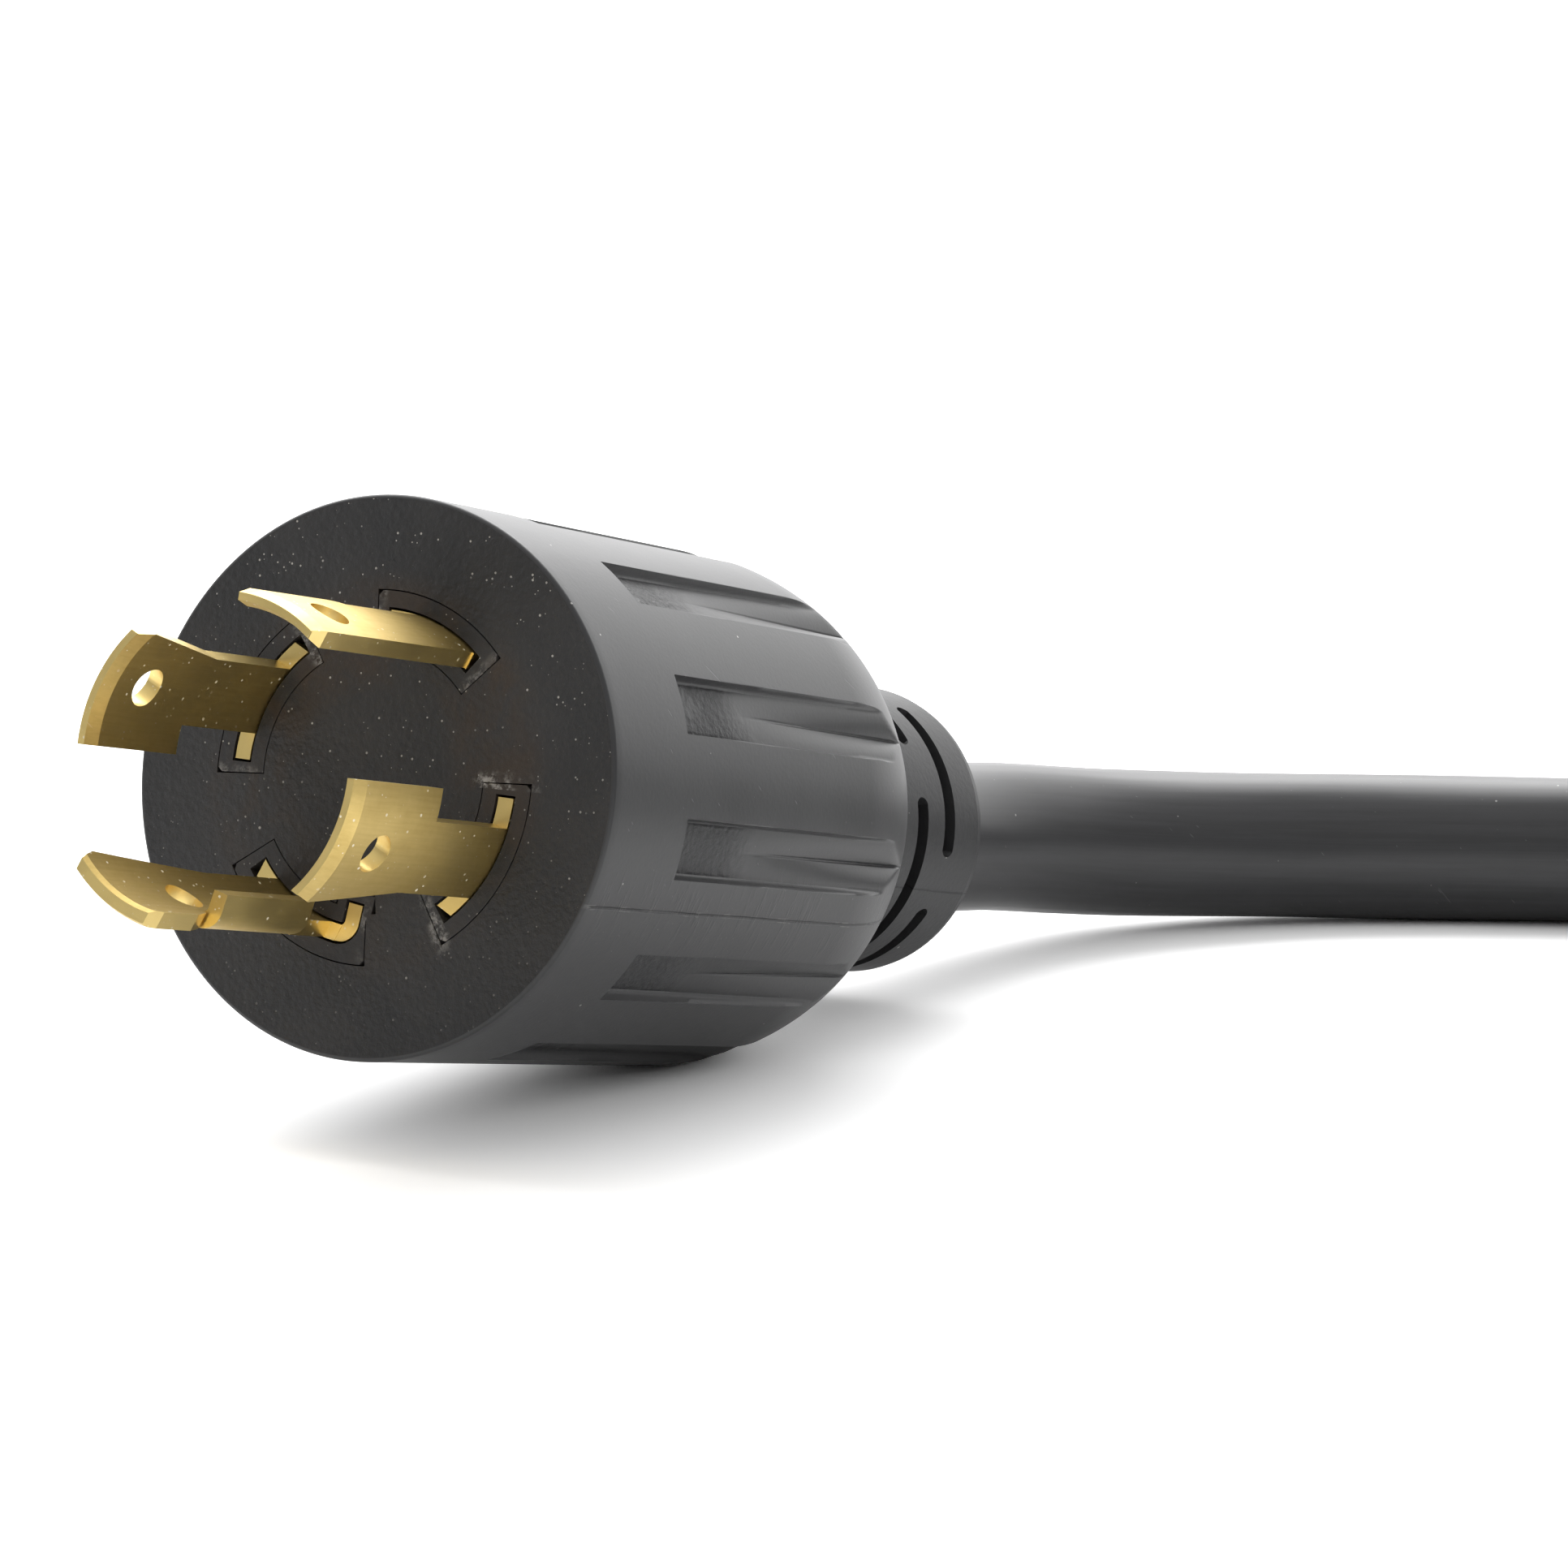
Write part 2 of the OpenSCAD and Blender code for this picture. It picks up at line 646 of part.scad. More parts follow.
module blade_ground() {
  neck = NECK_GROUND[1];
  root = bend_at + 0.3;
  color("#c9a24a")
    place_plug() {
      blade_end(GROUND, -0.5)
        difference() {
          blade_blank(GROUND, ground_len, ground_bevel);
          plain_side(GROUND, BASE_GROUND[0], NECK_GROUND[0], HEAD_GROUND[0], ground_len);
          side_cut(GROUND, 1, [[BASE_GROUND[1] + 0.3, -shoulder_seat], [neck, -shoulder_seat],
            [neck, flange_low - notch], [root, flange_low - notch], [root, flange_high + notch],
            [neck, flange_high + notch], [HEAD_GROUND[1], flange_high + 3],
            [HEAD_GROUND[1], ground_len - bevel_len]]);
        }
      bent_edge(GROUND + BASE_GROUND[1], -plug_depth + 0.1, -shoulder_seat - 0.05);
      bent_edge(GROUND + bend_at, flange_low, flange_high);
    }
}

module plug_wire_neutral() {
  color("#e6e4dc") place_plug() wire(plug_depth, NEUTRAL);
}

module plug_wire_hot_x() {
  color("#1d1d1f") place_plug() wire(plug_depth, HOT_X);
}

module plug_wire_hot_y() {
  color("#a8201f") place_plug() wire(plug_depth, HOT_Y);
}

module plug_wire_ground() {
  color("#1f7a3d") place_plug() wire(plug_depth, GROUND);
}

// ---------- connector ----------
// the face of the connector is the mirror image of the plug's
module place_connector() {
  at = coil_exit + relief_back(connector_depth) * entry_dir;
  translate(at)
    rotate([90, 0, atan2(entry_dir[0], -entry_dir[1])])
      mirror([1, 0, 0])
        children();
}

// slot for a blade that goes in and then turns behind its hook
module contact_slot(c, sides) {
  blade_sector(c, sides + [1.5, 1.5], -6, 1, 0.4);
  sector(chamber_ri, chamber_ro, c - chamber_half, c + chamber_half, -connector_depth - 1, -4);
}

chamber_ri = blade_ri - 1.9;
chamber_ro = blade_ro + 1.9;
chamber_half = 29;

module connector_core() {
  color("#343437")
    place_connector()
      difference() {
        translate([0, 0, -connector_depth])
          cylinder(r = core_r, h = connector_depth);
        contact_slot(NEUTRAL, HEAD_NEUTRAL);
        contact_slot(HOT_X, HEAD);
        contact_slot(HOT_Y, HEAD);
        contact_slot(GROUND, HEAD_GROUND + [0, 6]);
        sector(blade_ri - flange_h - 0.6, blade_ri, GROUND - 2, GROUND + 20, -connector_depth - 1, 1);
      }
}

// spring clip with two leaves that pinch the blade, its back plate, and the crimp behind it
module contact(c, half) {
  back = -connector_depth + fit;
  pinch = blade_t / 2 - 0.1;
  leaf = 0.8;
  rotate([0, 0, c - half])
    rotate_extrude(angle = 2 * half)
      polygon([[chamber_ri + 0.3, back], [chamber_ro - 0.3, back], [chamber_ro - 0.3, back + 1.4],
        [blade_rm + pinch + leaf, -10], [chamber_ro - 0.9, -5.4], [chamber_ro - 1.7, -5.2],
        [blade_rm + pinch, -10], [chamber_ro - 1.1, back + 1.4], [chamber_ri + 1.1, back + 1.4],
        [blade_rm - pinch, -10], [chamber_ri + 1.7, -5.2], [chamber_ri + 0.9, -5.4],
        [blade_rm - pinch - leaf, -10], [chamber_ri + 0.3, back + 1.4]]);
  crimp(connector_depth, c);
}

module contact_neutral() {
  color("#c9a24a") place_connector() contact(NEUTRAL, 19);
}

module contact_hot_x() {
  color("#c9a24a") place_connector() contact(HOT_X, 14);
}

module contact_hot_y() {
  color("#c9a24a") place_connector() contact(HOT_Y, 14);
}

module contact_ground() {
  color("#c9a24a") place_connector() contact(GROUND, 14);
}

module connector_wire_neutral() {
  color("#e6e4dc") place_connector() wire(connector_depth, NEUTRAL);
}

module connector_wire_hot_x() {
  color("#1d1d1f") place_connector() wire(connector_depth, HOT_X);
}

module connector_wire_hot_y() {
  color("#a8201f") place_connector() wire(connector_depth, HOT_Y);
}

module connector_wire_ground() {
  color("#1f7a3d") place_connector() wire(connector_depth, GROUND);
}

// ---------- cable and straps ----------
module cord_run() {
  color("#2b2b2e") tube(run_points, cable_d / 2, 12);
}

module cord_coil() {
  color("#2b2b2e") tube(coil_points, cable_d / 2, 6);
}

// rounded rectangle from [0, 0], with exact corners
module rounded(w, h, r) {
  translate([r, 0]) square([w - 2 * r, h]);
  translate([0, r]) square([w, h - 2 * r]);
  for (x = [r, w - r])
    for (y = [r, h - r])
      translate([x, y]) circle(r = r, $fn = 48);
}

// a strap round all the turns where they lie evenly, a quarter turn on either side of the entry
module strap(angle) {
  edge_turn = asin(strap_w / 2 / coil_inner) / 360;
  inside = (coil_inner - cable_d / 2 - edge_turn * turn_pitch) * cos(360 * edge_turn) - 0.4;
  wide = coil_outer - turn_pitch / 4 + cable_d / 2 + 0.4 - inside;
  tall = high_z + cable_d / 2 + 0.3 - strap_t;
  corner = cable_d / 2;
  translate([coil_centre[0], coil_centre[1], 0])
    rotate([0, 0, angle])
      translate([inside - strap_t, strap_w / 2, 0])
        rotate([90, 0, 0])
          linear_extrude(strap_w)
            difference() {
              rounded(wide + 2 * strap_t, tall + 2 * strap_t, corner + strap_t);
              translate([strap_t, strap_t]) rounded(wide, tall, corner);
            }
}

module strap_near() {
  color("#1b1b1d") strap(entry_angle - 90);
}

module strap_far() {
  color("#1b1b1d") strap(entry_angle + 90);
}

plug_body();
plug_carrier();
blade_neutral();
blade_hot_x();
blade_hot_y();
blade_ground();
plug_inner();
plug_wire_neutral();
plug_wire_hot_x();
plug_wire_hot_y();
plug_wire_ground();
plug_cable_end();
plug_relief();
cord_run();
cord_coil();
strap_near();
strap_far();
connector_body();
connector_core();
contact_neutral();
contact_hot_x();
contact_hot_y();
contact_ground();
connector_inner();
connector_wire_neutral();
connector_wire_hot_x();
connector_wire_hot_y();
connector_wire_ground();
connector_cable_end();
connector_relief();
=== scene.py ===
# %% [markdown]
# # A locking plug on a heavy cable, step by step
# The model is a shore power cord: a moulded plug with four curved brass blades, its thick round cable,
# and a coil of the spare length that ends in the matching connector. The rigid frame comes from CAD and
# is loaded first. What follows gives a CAD piece a better surface or puts a finer piece in its place.
# Lengths are written in millimetres and turned into metres as they are used.

# %% Load the frame
import json
import math

import bmesh
import bpy
import numpy as np
from mathutils import Euler, Matrix, Vector

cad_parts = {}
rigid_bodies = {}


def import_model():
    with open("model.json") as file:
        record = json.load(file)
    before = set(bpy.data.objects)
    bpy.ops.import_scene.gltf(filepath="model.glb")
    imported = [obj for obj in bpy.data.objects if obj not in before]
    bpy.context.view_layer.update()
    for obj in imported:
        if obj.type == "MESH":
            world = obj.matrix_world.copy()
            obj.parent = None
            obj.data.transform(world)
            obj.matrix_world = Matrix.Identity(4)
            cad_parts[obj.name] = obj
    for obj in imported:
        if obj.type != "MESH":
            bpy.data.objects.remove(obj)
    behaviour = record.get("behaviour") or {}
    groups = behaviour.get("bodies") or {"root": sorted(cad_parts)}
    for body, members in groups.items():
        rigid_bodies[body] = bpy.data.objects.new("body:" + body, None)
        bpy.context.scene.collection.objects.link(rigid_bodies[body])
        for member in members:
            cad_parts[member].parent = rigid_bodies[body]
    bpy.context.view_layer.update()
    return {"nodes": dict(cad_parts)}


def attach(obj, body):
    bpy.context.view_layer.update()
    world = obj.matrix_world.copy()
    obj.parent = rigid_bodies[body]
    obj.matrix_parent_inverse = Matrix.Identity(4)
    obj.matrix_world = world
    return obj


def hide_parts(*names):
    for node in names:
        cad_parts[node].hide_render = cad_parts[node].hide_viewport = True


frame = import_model()
nodes = frame["nodes"]
MM = 0.001

# %% [markdown]
# ## Two places to work in
# The plug's shapes are simplest about its own axis, with +Z out of the mating face. Each matrix below
# carries that frame to where the plug or the connector lies. The connector is the plug's mirror image, so
# its matrix holds a mirror as well.

# %% Frames of the plug and of the connector
NOSE_UP = math.radians(11.15)
ENTRY_ANGLE = math.radians(23)
FACE_X, FACE_Z = -32.658, 36.8
PLUG_FACE = Vector((FACE_X, 0, FACE_Z)) * MM
CONNECTOR_FACE = Vector((262.136, -331.613, 27.5)) * MM
# round the axis: recesses and parting lines by their angles in degrees, and the blades' middle radius
RECESSES, FIRST_RECESS = 12, 21.5
SEAMS = (338, 158)
BLADE_MID = 15.45


def turned(x, y, z):
    """Rotation about X, then Y, then Z, in degrees."""
    return Euler([math.radians(a) for a in (x, y, z)]).to_matrix().to_4x4()


plug_turn = Matrix.Rotation(NOSE_UP, 4, "Y") @ turned(90, 0, -90)
connector_turn = turned(90, 0, math.degrees(ENTRY_ANGLE))
PLUG = Matrix.Translation(PLUG_FACE) @ plug_turn
CONNECTOR = Matrix.Translation(CONNECTOR_FACE) @ connector_turn @ Matrix.Scale(-1, 4, (1, 0, 0))
print("blades point", [round(v, 3) for v in plug_turn @ Vector((0, 0, 1))])

# %% [markdown]
# ## The camera
# A long lens, a little above the table, looks along the plug from the front left. It comes first because
# the cable has to leave the picture before it is coiled, and only the camera can tell where that is.

# %% Camera
lens = bpy.data.cameras.new("camera")
lens.lens = 139.75
lens.sensor_width = 36
lens.clip_start, lens.clip_end = 0.02, 20
camera = bpy.data.objects.new("camera", lens)
bpy.context.scene.collection.objects.link(camera)
camera.location = Vector((-513.015, -328.64, 128.09)) * MM
camera.rotation_mode = "QUATERNION"
camera.rotation_quaternion = Vector((0.8514, 0.5007, -0.1564)).to_track_quat("-Z", "Y")
bpy.context.scene.camera = camera
print("camera at", [round(v, 3) for v in camera.location])

# %% [markdown]
# ## The cable's path
# A four-core cable this thick is stiff. It comes straight out of the relief, sinks to the table, swings
# round in one wide bend, and the rest is wound flat in two layers: inwards along the table, up in the
# half turn where the spiral reverses, and outwards again on top. The run's points are listed and
# joined by a smooth curve; the coil is a formula.

# %% Points along the cable
CABLE_D = 17.0
RELIEF_END, STRAIGHT = 97.635, 14
plug_axis = np.array((math.cos(NOSE_UP), 0, -math.sin(NOSE_UP)))
leaves = np.array((FACE_X, 0, FACE_Z)) + RELIEF_END * plug_axis
run_points = [leaves, leaves + STRAIGHT * plug_axis]
run_points += [(leaves[0] + x, y, z) for x, y, z in (
    (27.23, -1.5, 13.4), (40.5, -5.6, 11.3), (52.3, -12.8, 9.9), (62.6, -21.9, 9.0), (70.5, -33.3, 8.6),
    (77, -45.7, 8.5), (82.6, -58.6, 8.5), (88.2, -71.5, 8.5), (93.8, -84, 8.5), (99.4, -97, 8.5),
    (105.1, -110, 8.8), (110.73, -123, 9.3))]
COIL_CENTRE = np.array((91.864, -212.0))
INNER_R, TURN_PITCH, TURNS = 69.5, 18.0, 2.25
LOW_Z, LAYER = 9.9, 17.6
PER_TURN = 36
outer_r = INNER_R + TURNS * TURN_PITCH
entry_dir = np.array((math.sin(ENTRY_ANGLE), -math.cos(ENTRY_ANGLE), 0))
coil_start = np.array((*COIL_CENTRE, 0)) + outer_r * np.array((math.cos(ENTRY_ANGLE), math.sin(ENTRY_ANGLE), 0))


def coil_point(u):
    """Point of the coil after u turns: inwards, half a turn of climbing, and outwards."""
    if u < TURNS:
        r = outer_r - TURN_PITCH * u
    elif u < TURNS + 0.5:
        r = INNER_R - TURN_PITCH * (u - TURNS) * (1 - 2 * (u - TURNS))
    else:
        r = INNER_R + TURN_PITCH * (u - TURNS - 0.5)
    k = min(1, max(0, (u - TURNS) / 0.5))
    a = ENTRY_ANGLE - 2 * math.pi * u
    return (*(COIL_CENTRE + r * np.array((math.cos(a), math.sin(a)))), LOW_Z + LAYER * k * k * (3 - 2 * k))


def smooth_line(points, step):
    """Points every step along a Catmull-Rom curve through the given ones."""
    p = np.array(points, float)
    p = np.vstack([2 * p[0] - p[1], p, 2 * p[-1] - p[-2]])
    fine = []
    for a, b, c, d in zip(p, p[1:], p[2:], p[3:]):
        for t in np.linspace(0, 1, max(2, int(np.linalg.norm(c - b) / step) + 1))[:-1]:
            fine.append(0.5 * (2 * b + (c - a) * t + (2 * a - 5 * b + 4 * c - d) * t**2
                               + (3 * b - a - 3 * c + d) * t**3))
    return np.array(fine + [p[-2]])


entry = coil_start + (0, 0, LOW_Z)
control = run_points + [entry - CABLE_D * entry_dir]
control += [coil_point(k / PER_TURN) for k in range(int((2 * TURNS + 0.5) * PER_TURN) + 1)]
exit_at = coil_start + (0, 0, LOW_Z + LAYER)
control += [exit_at + d * entry_dir for d in (16, 32, 50, 75)]
cable_line = smooth_line(control, step=3.6) * MM
cable_length = float(np.linalg.norm(np.diff(cable_line, axis=0), axis=1).sum())
print("cable", round(cable_length, 3), "m along", len(cable_line), "points")

# %% [markdown]
# ## Sums as sums
# Patterns that follow a rule need arithmetic in the node trees. This small class lets a value be added
# and multiplied with ordinary signs, and adds the Math nodes that do it, in any kind of tree.


# %% Arithmetic in node trees
class Value:
    """A socket's value, in the tree that the socket is in."""

    def __init__(self, socket):
        self.tree, self.socket = socket.id_data, socket

    def math(self, operation, *others):
        made = self.tree.nodes.new("ShaderNodeMath")
        made.operation = operation
        for slot, value in zip(made.inputs, (self, *others)):
            feed(self.tree, value, slot)
        return out(made)

    def __add__(self, other): return self.math("ADD", other)
    def __radd__(self, other): return self.math("ADD", other)
    def __sub__(self, other): return self.math("SUBTRACT", other)
    def __rsub__(self, other): return (self * -1) + other
    def __mul__(self, other): return self.math("MULTIPLY", other)
    def __truediv__(self, other): return self.math("DIVIDE", other)
    def __rtruediv__(self, other): return (self ** -1) * other
    def __pow__(self, other): return self.math("POWER", other)
    def min(self, other): return self.math("MINIMUM", other)
    def max(self, other): return self.math("MAXIMUM", other)
    def abs(self): return self.math("ABSOLUTE")
    def sin(self): return self.math("SINE")
    def cos(self): return self.math("COSINE")
    def fract(self): return self.math("FRACT")

    def ramp(self, low, high, to_low=0.0, to_high=1.0):
        """Eased step from to_low to to_high as the value goes from low to high."""
        made = self.tree.nodes.new("ShaderNodeMapRange")
        made.interpolation_type = "SMOOTHSTEP"
        for slot, value in zip(made.inputs, (self, low, high, to_low, to_high)):
            feed(self.tree, value, slot)
        return out(made)

    def band(self, middle, half, soft):
        """1 within half of the middle, falling to 0 over soft on either side."""
        return (self - middle).abs().ramp(half, half + soft, 1, 0)


def feed(tree, value, slot):
    """Links a value, a socket or a plain number to an input."""
    if isinstance(value, Value):
        value = value.socket
    if isinstance(value, bpy.types.NodeSocket):
        tree.links.new(value, slot)
    else:
        slot.default_value = value


def node(tree, kind, inputs=None, **settings):
    """Adds a node, sets its properties, and feeds its inputs by name or number."""
    made = tree.nodes.new(kind)
    for name, value in settings.items():
        setattr(made, name, value)
    for name, value in (inputs or {}).items():
        feed(tree, value, made.inputs[name])
    return made


def out(made, name=0):
    return Value(made.outputs[name])


# %% [markdown]
# ## Mesh helpers
# Every finished piece sits at the origin with its place in its mesh, as the CAD nodes do, and rides on
# the one rigid body of this object.

# %% From points and faces to a piece
scene_objects = bpy.context.scene.collection.objects


def linked(name, data):
    """A new object in the scene."""
    made = bpy.data.objects.new(name, data)
    scene_objects.link(made)
    return made


def piece(name, points, faces, place=None, smooth=40):
    """A piece from points in millimetres, carried by a place matrix, with its faces turned outwards."""
    mesh = bpy.data.meshes.new(name)
    mesh.from_pydata([tuple(p) for p in np.asarray(points, float) * MM], [], faces)
    b = bmesh.new()
    b.from_mesh(mesh)
    if place is not None:
        b.transform(place)
    bmesh.ops.recalc_face_normals(b, faces=b.faces)
    for face in b.faces:
        face.smooth = True
    b.to_mesh(mesh)
    b.free()
    mesh.set_sharp_from_angle(angle=math.radians(smooth))
    return linked(name, mesh)


def ring_faces(rings, n):
    """The four-sided faces between rings of n points each."""
    return [(k * n + j, k * n + (j + 1) % n, (k + 1) * n + (j + 1) % n, (k + 1) * n + j)
            for k in range(rings - 1) for j in range(n)]


def grown(name, tree, sizes, source):
    """A plain mesh from a Geometry Nodes tree, run on a source mesh or curve with sizes by name."""
    modifier = source.modifiers.new("rule", "NODES")
    modifier.node_group = tree
    for item in tree.interface.items_tree:
        if item.item_type == "SOCKET" and item.in_out == "INPUT" and item.name in sizes:
            modifier[item.identifier] = sizes[item.name]
    graph = bpy.context.evaluated_depsgraph_get()
    mesh = bpy.data.meshes.new_from_object(source.evaluated_get(graph))
    source.modifiers.remove(modifier)
    bpy.data.objects.remove(source)
    return linked(name, mesh)


def rule_tree(name, sizes):
    """An empty Geometry Nodes tree with a geometry input and output and named sizes."""
    tree = bpy.data.node_groups.new(name, "GeometryNodeTree")
    tree.interface.new_socket("Geometry", in_out="INPUT", socket_type="NodeSocketGeometry")
    tree.interface.new_socket("Geometry", in_out="OUTPUT", socket_type="NodeSocketGeometry")
    for size, value in sizes.items():
        kind = "NodeSocketInt" if isinstance(value, int) else "NodeSocketFloat"
        kind = "NodeSocketMaterial" if value is None else kind
        socket = tree.interface.new_socket(size, in_out="INPUT", socket_type=kind)
        if value is not None:
            socket.default_value = value
    entry_node = tree.nodes.new("NodeGroupInput")
    return tree, {s.name: Value(s) for s in entry_node.outputs if s.name}


def end_tree(tree, geometry, material):
    """Realizes instances, sets the material, and closes the tree."""
    real = node(tree, "GeometryNodeRealizeInstances", {0: geometry})
    dressed = node(tree, "GeometryNodeSetMaterial", {"Geometry": real.outputs[0], "Material": material})
    last = tree.nodes.new("NodeGroupOutput")
    tree.links.new(dressed.outputs[0], last.inputs[0])


# %% [markdown]
# ## The jacket
# The four cores are twisted together, and the jacket sinks a hair between them, so the cable has a slow
# helical swell, seen only where a highlight wanders along it. A Curve to Mesh node sweeps the round
# section along the path, the swell moves each point along its normal, and two attributes keep how far
# along and how far round each point is.

# %% Cable
jacket_finish = bpy.data.materials.new("cable jacket")


def jacket_tree():
    tree, size = rule_tree("sweep a jacket", {"Radius": 8.5 * MM, "Sides": 28, "Swell": 0.05 * MM,
                                              "Lay": 0.16, "Finish": None})

    def kept(geometry, name, value):
        return node(tree, "GeometryNodeStoreNamedAttribute", {"Geometry": geometry, "Name": name, "Value": value},
                    data_type="FLOAT", domain="POINT").outputs[0]

    def read(name):
        return out(node(tree, "GeometryNodeInputNamedAttribute", {"Name": name}, data_type="FLOAT"))

    upright = node(tree, "GeometryNodeSetCurveNormal", {0: size["Geometry"]}, mode="Z_UP")
    ring = node(tree, "GeometryNodeCurvePrimitiveCircle", {"Resolution": size["Sides"], "Radius": size["Radius"]})
    spline = node(tree, "GeometryNodeSplineParameter")
    tube = node(tree, "GeometryNodeCurveToMesh", {
        "Curve": kept(upright.outputs[0], "along", spline.outputs["Length"]),
        "Profile Curve": kept(ring.outputs[0], "around", spline.outputs["Factor"]), "Fill Caps": True})
    wave = ((read("along") / size["Lay"] + read("around")) * (8 * math.pi)).cos() * size["Swell"]
    normal = node(tree, "GeometryNodeInputNormal")
    push = node(tree, "ShaderNodeVectorMath", {0: normal.outputs[0], "Scale": wave}, operation="SCALE")
    swell = node(tree, "GeometryNodeSetPosition", {"Geometry": tube.outputs[0], "Offset": push.outputs[0]})
    smooth = node(tree, "GeometryNodeSetShadeSmooth", {0: swell.outputs[0]})
    end_tree(tree, smooth.outputs[0], size["Finish"])
    return tree


def polyline(name, points):
    """A curve object through points in metres."""
    curve = bpy.data.curves.new(name, "CURVE")
    curve.dimensions = "3D"
    spline = curve.splines.new("POLY")
    spline.points.add(len(points) - 1)
    spline.points.foreach_set("co", np.column_stack([points, np.ones(len(points))]).ravel())
    return linked(name, curve)


cable = grown("cable", jacket_tree(), {"Finish": jacket_finish}, polyline("cable_path", cable_line))
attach(cable, "root")
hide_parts("cord_run", "cord_coil")
print("cable has", len(cable.data.polygons), "faces")

# %% [markdown]
# ## The straps
# Two hook-and-loop wraps hold the coil. A wrap is a soft band pulled round the bundle, whose end lies
# over its start. The band is swept round a rounded rectangle that hugs the turns, with slightly rolled
# edges, and its last stretch rises by one thickness where it overlaps.

# %% Straps
STRAP_W, STRAP_T, SLACK = 20.0, 1.2, 0.4
OVERLAP, RISE, RISES_OVER = 24, 1.25, 6  # the band's last stretch, its rise, and the rise's length
strap_finish = bpy.data.materials.new("strap loop cloth")


def strap(name, node_name, angle):
    """A wrap round the coil, at an angle in degrees from where the cable enters it."""
    turn = ENTRY_ANGLE + math.radians(angle)
    edge_turn = math.asin(STRAP_W / 2 / INNER_R)
    inside = (INNER_R - CABLE_D / 2 - edge_turn / (2 * math.pi) * TURN_PITCH) * math.cos(edge_turn) - SLACK
    wide = outer_r - TURN_PITCH / 4 + CABLE_D / 2 + SLACK - inside
    tall = LOW_Z + LAYER + CABLE_D / 2 + 0.3 - STRAP_T
    corner = CABLE_D / 2
    path, normals = [], []
    for cx, cz, start in ((wide - corner, tall - corner, 0), (corner, tall - corner, 90),
                          (corner, corner, 180), (wide - corner, corner, 270)):
        for a in np.radians(start + np.arange(0, 91, 7.5)):
            normals.append((math.cos(a), math.sin(a)))
            path.append((cx + corner * math.cos(a), cz + corner * math.sin(a)))
    path, normals = np.array(path), np.array(normals)
    # the band starts and ends in the middle of the top, and its end lies 16 mm past its start
    start = np.array((wide / 2, tall))
    order = [*range(13, len(path)), *range(13)]
    line = [start] + [path[k] for k in order] + [start, start - (16, 0)]
    face = [np.array((0, 1.0))] + [normals[k] for k in order] + [np.array((0, 1.0))] * 2
    length = np.concatenate([[0], np.cumsum(np.linalg.norm(np.diff(line, axis=0), axis=1))])
    h = STRAP_W / 2
    section = [(-h, 0.35), (0.5 - h, 0.05), (0, 0), (h - 0.5, 0.05), (h, 0.35), (h, 0.85), (h - 0.5, 1.15),
               (0, STRAP_T), (0.5 - h, 1.15), (-h, 0.85)]
    fine = np.linspace(0, length[-1], 120)
    px, pz = (np.interp(fine, length, [p[k] for p in line]) for k in (0, 1))
    nx, nz = (np.interp(fine, length, [n[k] for n in face]) for k in (0, 1))
    lift = np.clip((fine - (length[-1] - OVERLAP)) / RISES_OVER, 0, 1)
    lift = RISE * lift * lift * (3 - 2 * lift)
    points = []
    for x, z, ax, az, up in zip(px, pz, nx, nz, lift):
        k = math.hypot(ax, az)
        for side, out_by in section:
            points.append((inside + x + ax / k * (out_by + up), side, STRAP_T + z + az / k * (out_by + up)))
    n, end = len(section), len(points)
    faces = ring_faces(len(fine), n) + [range(n), range(end - n, end)]
    place = Matrix.Translation(Vector((*COIL_CENTRE, 0)) * MM) @ Matrix.Rotation(turn, 4, "Z")
    made = piece(name, points, faces, place, 50)
    made.data.materials.append(strap_finish)
    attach(made, "root")
    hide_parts(node_name)
    return made


strap_a = strap("strap_a", "strap_near", -90)
strap_b = strap("strap_b", "strap_far", 90)
print("straps are", STRAP_W, "mm wide")

# %% [markdown]
# ## Shared effects
# Dust, the spark-eroded skin of a mould, mottled colour and fine scratches turn up on nearly every
# finish. Each is a small node group with its own scale and strength, built once. The groups put out
# masks and heights only, and each material decides what they do to its colour, roughness and bumps.


# %% Groups for dust, grain, mottling and scratches
def group(name, inputs, outputs):
    """A shader group with float inputs by name and default, and named outputs."""
    tree = bpy.data.node_groups.new(name, "ShaderNodeTree")
    tree.interface.new_socket("Vector", in_out="INPUT", socket_type="NodeSocketVector")
    for label, value in inputs.items():
        tree.interface.new_socket(label, in_out="INPUT", socket_type="NodeSocketFloat").default_value = value
    for label in outputs:
        kind = "NodeSocketVector" if label == "Place" else "NodeSocketFloat"
        tree.interface.new_socket(label, in_out="OUTPUT", socket_type=kind)
    entry_node, last = tree.nodes.new("NodeGroupInput"), tree.nodes.new("NodeGroupOutput")
    return tree, {s.name: Value(s) for s in entry_node.outputs if s.name}, last


def noise(vector, scale, detail=3, rough=0.5, warp=0):
    made = node(vector.id_data, "ShaderNodeTexNoise", {"Vector": vector, "Scale": scale, "Detail": detail,
                                                       "Roughness": rough, "Distortion": warp})
    return out(made, "Fac")


def stretched(vector, *scale):
    return node(vector.id_data, "ShaderNodeMapping", {"Vector": vector, "Scale": scale}).outputs[0]


def cells(vector, size):
    """Distance from a cell's middle, the cell's grade, and 1 in the share of cells that is in use."""
    found = node(size["Share"].tree, "ShaderNodeTexVoronoi", {"Vector": vector, "Scale": 1 / size["Spacing"]})
    tone = node(size["Share"].tree, "ShaderNodeSeparateColor", {0: found.outputs["Color"]})
    return out(found, "Distance"), out(tone, 0), out(tone, 1).ramp(size["Share"], size["Share"] + 0.02, 1, 0)


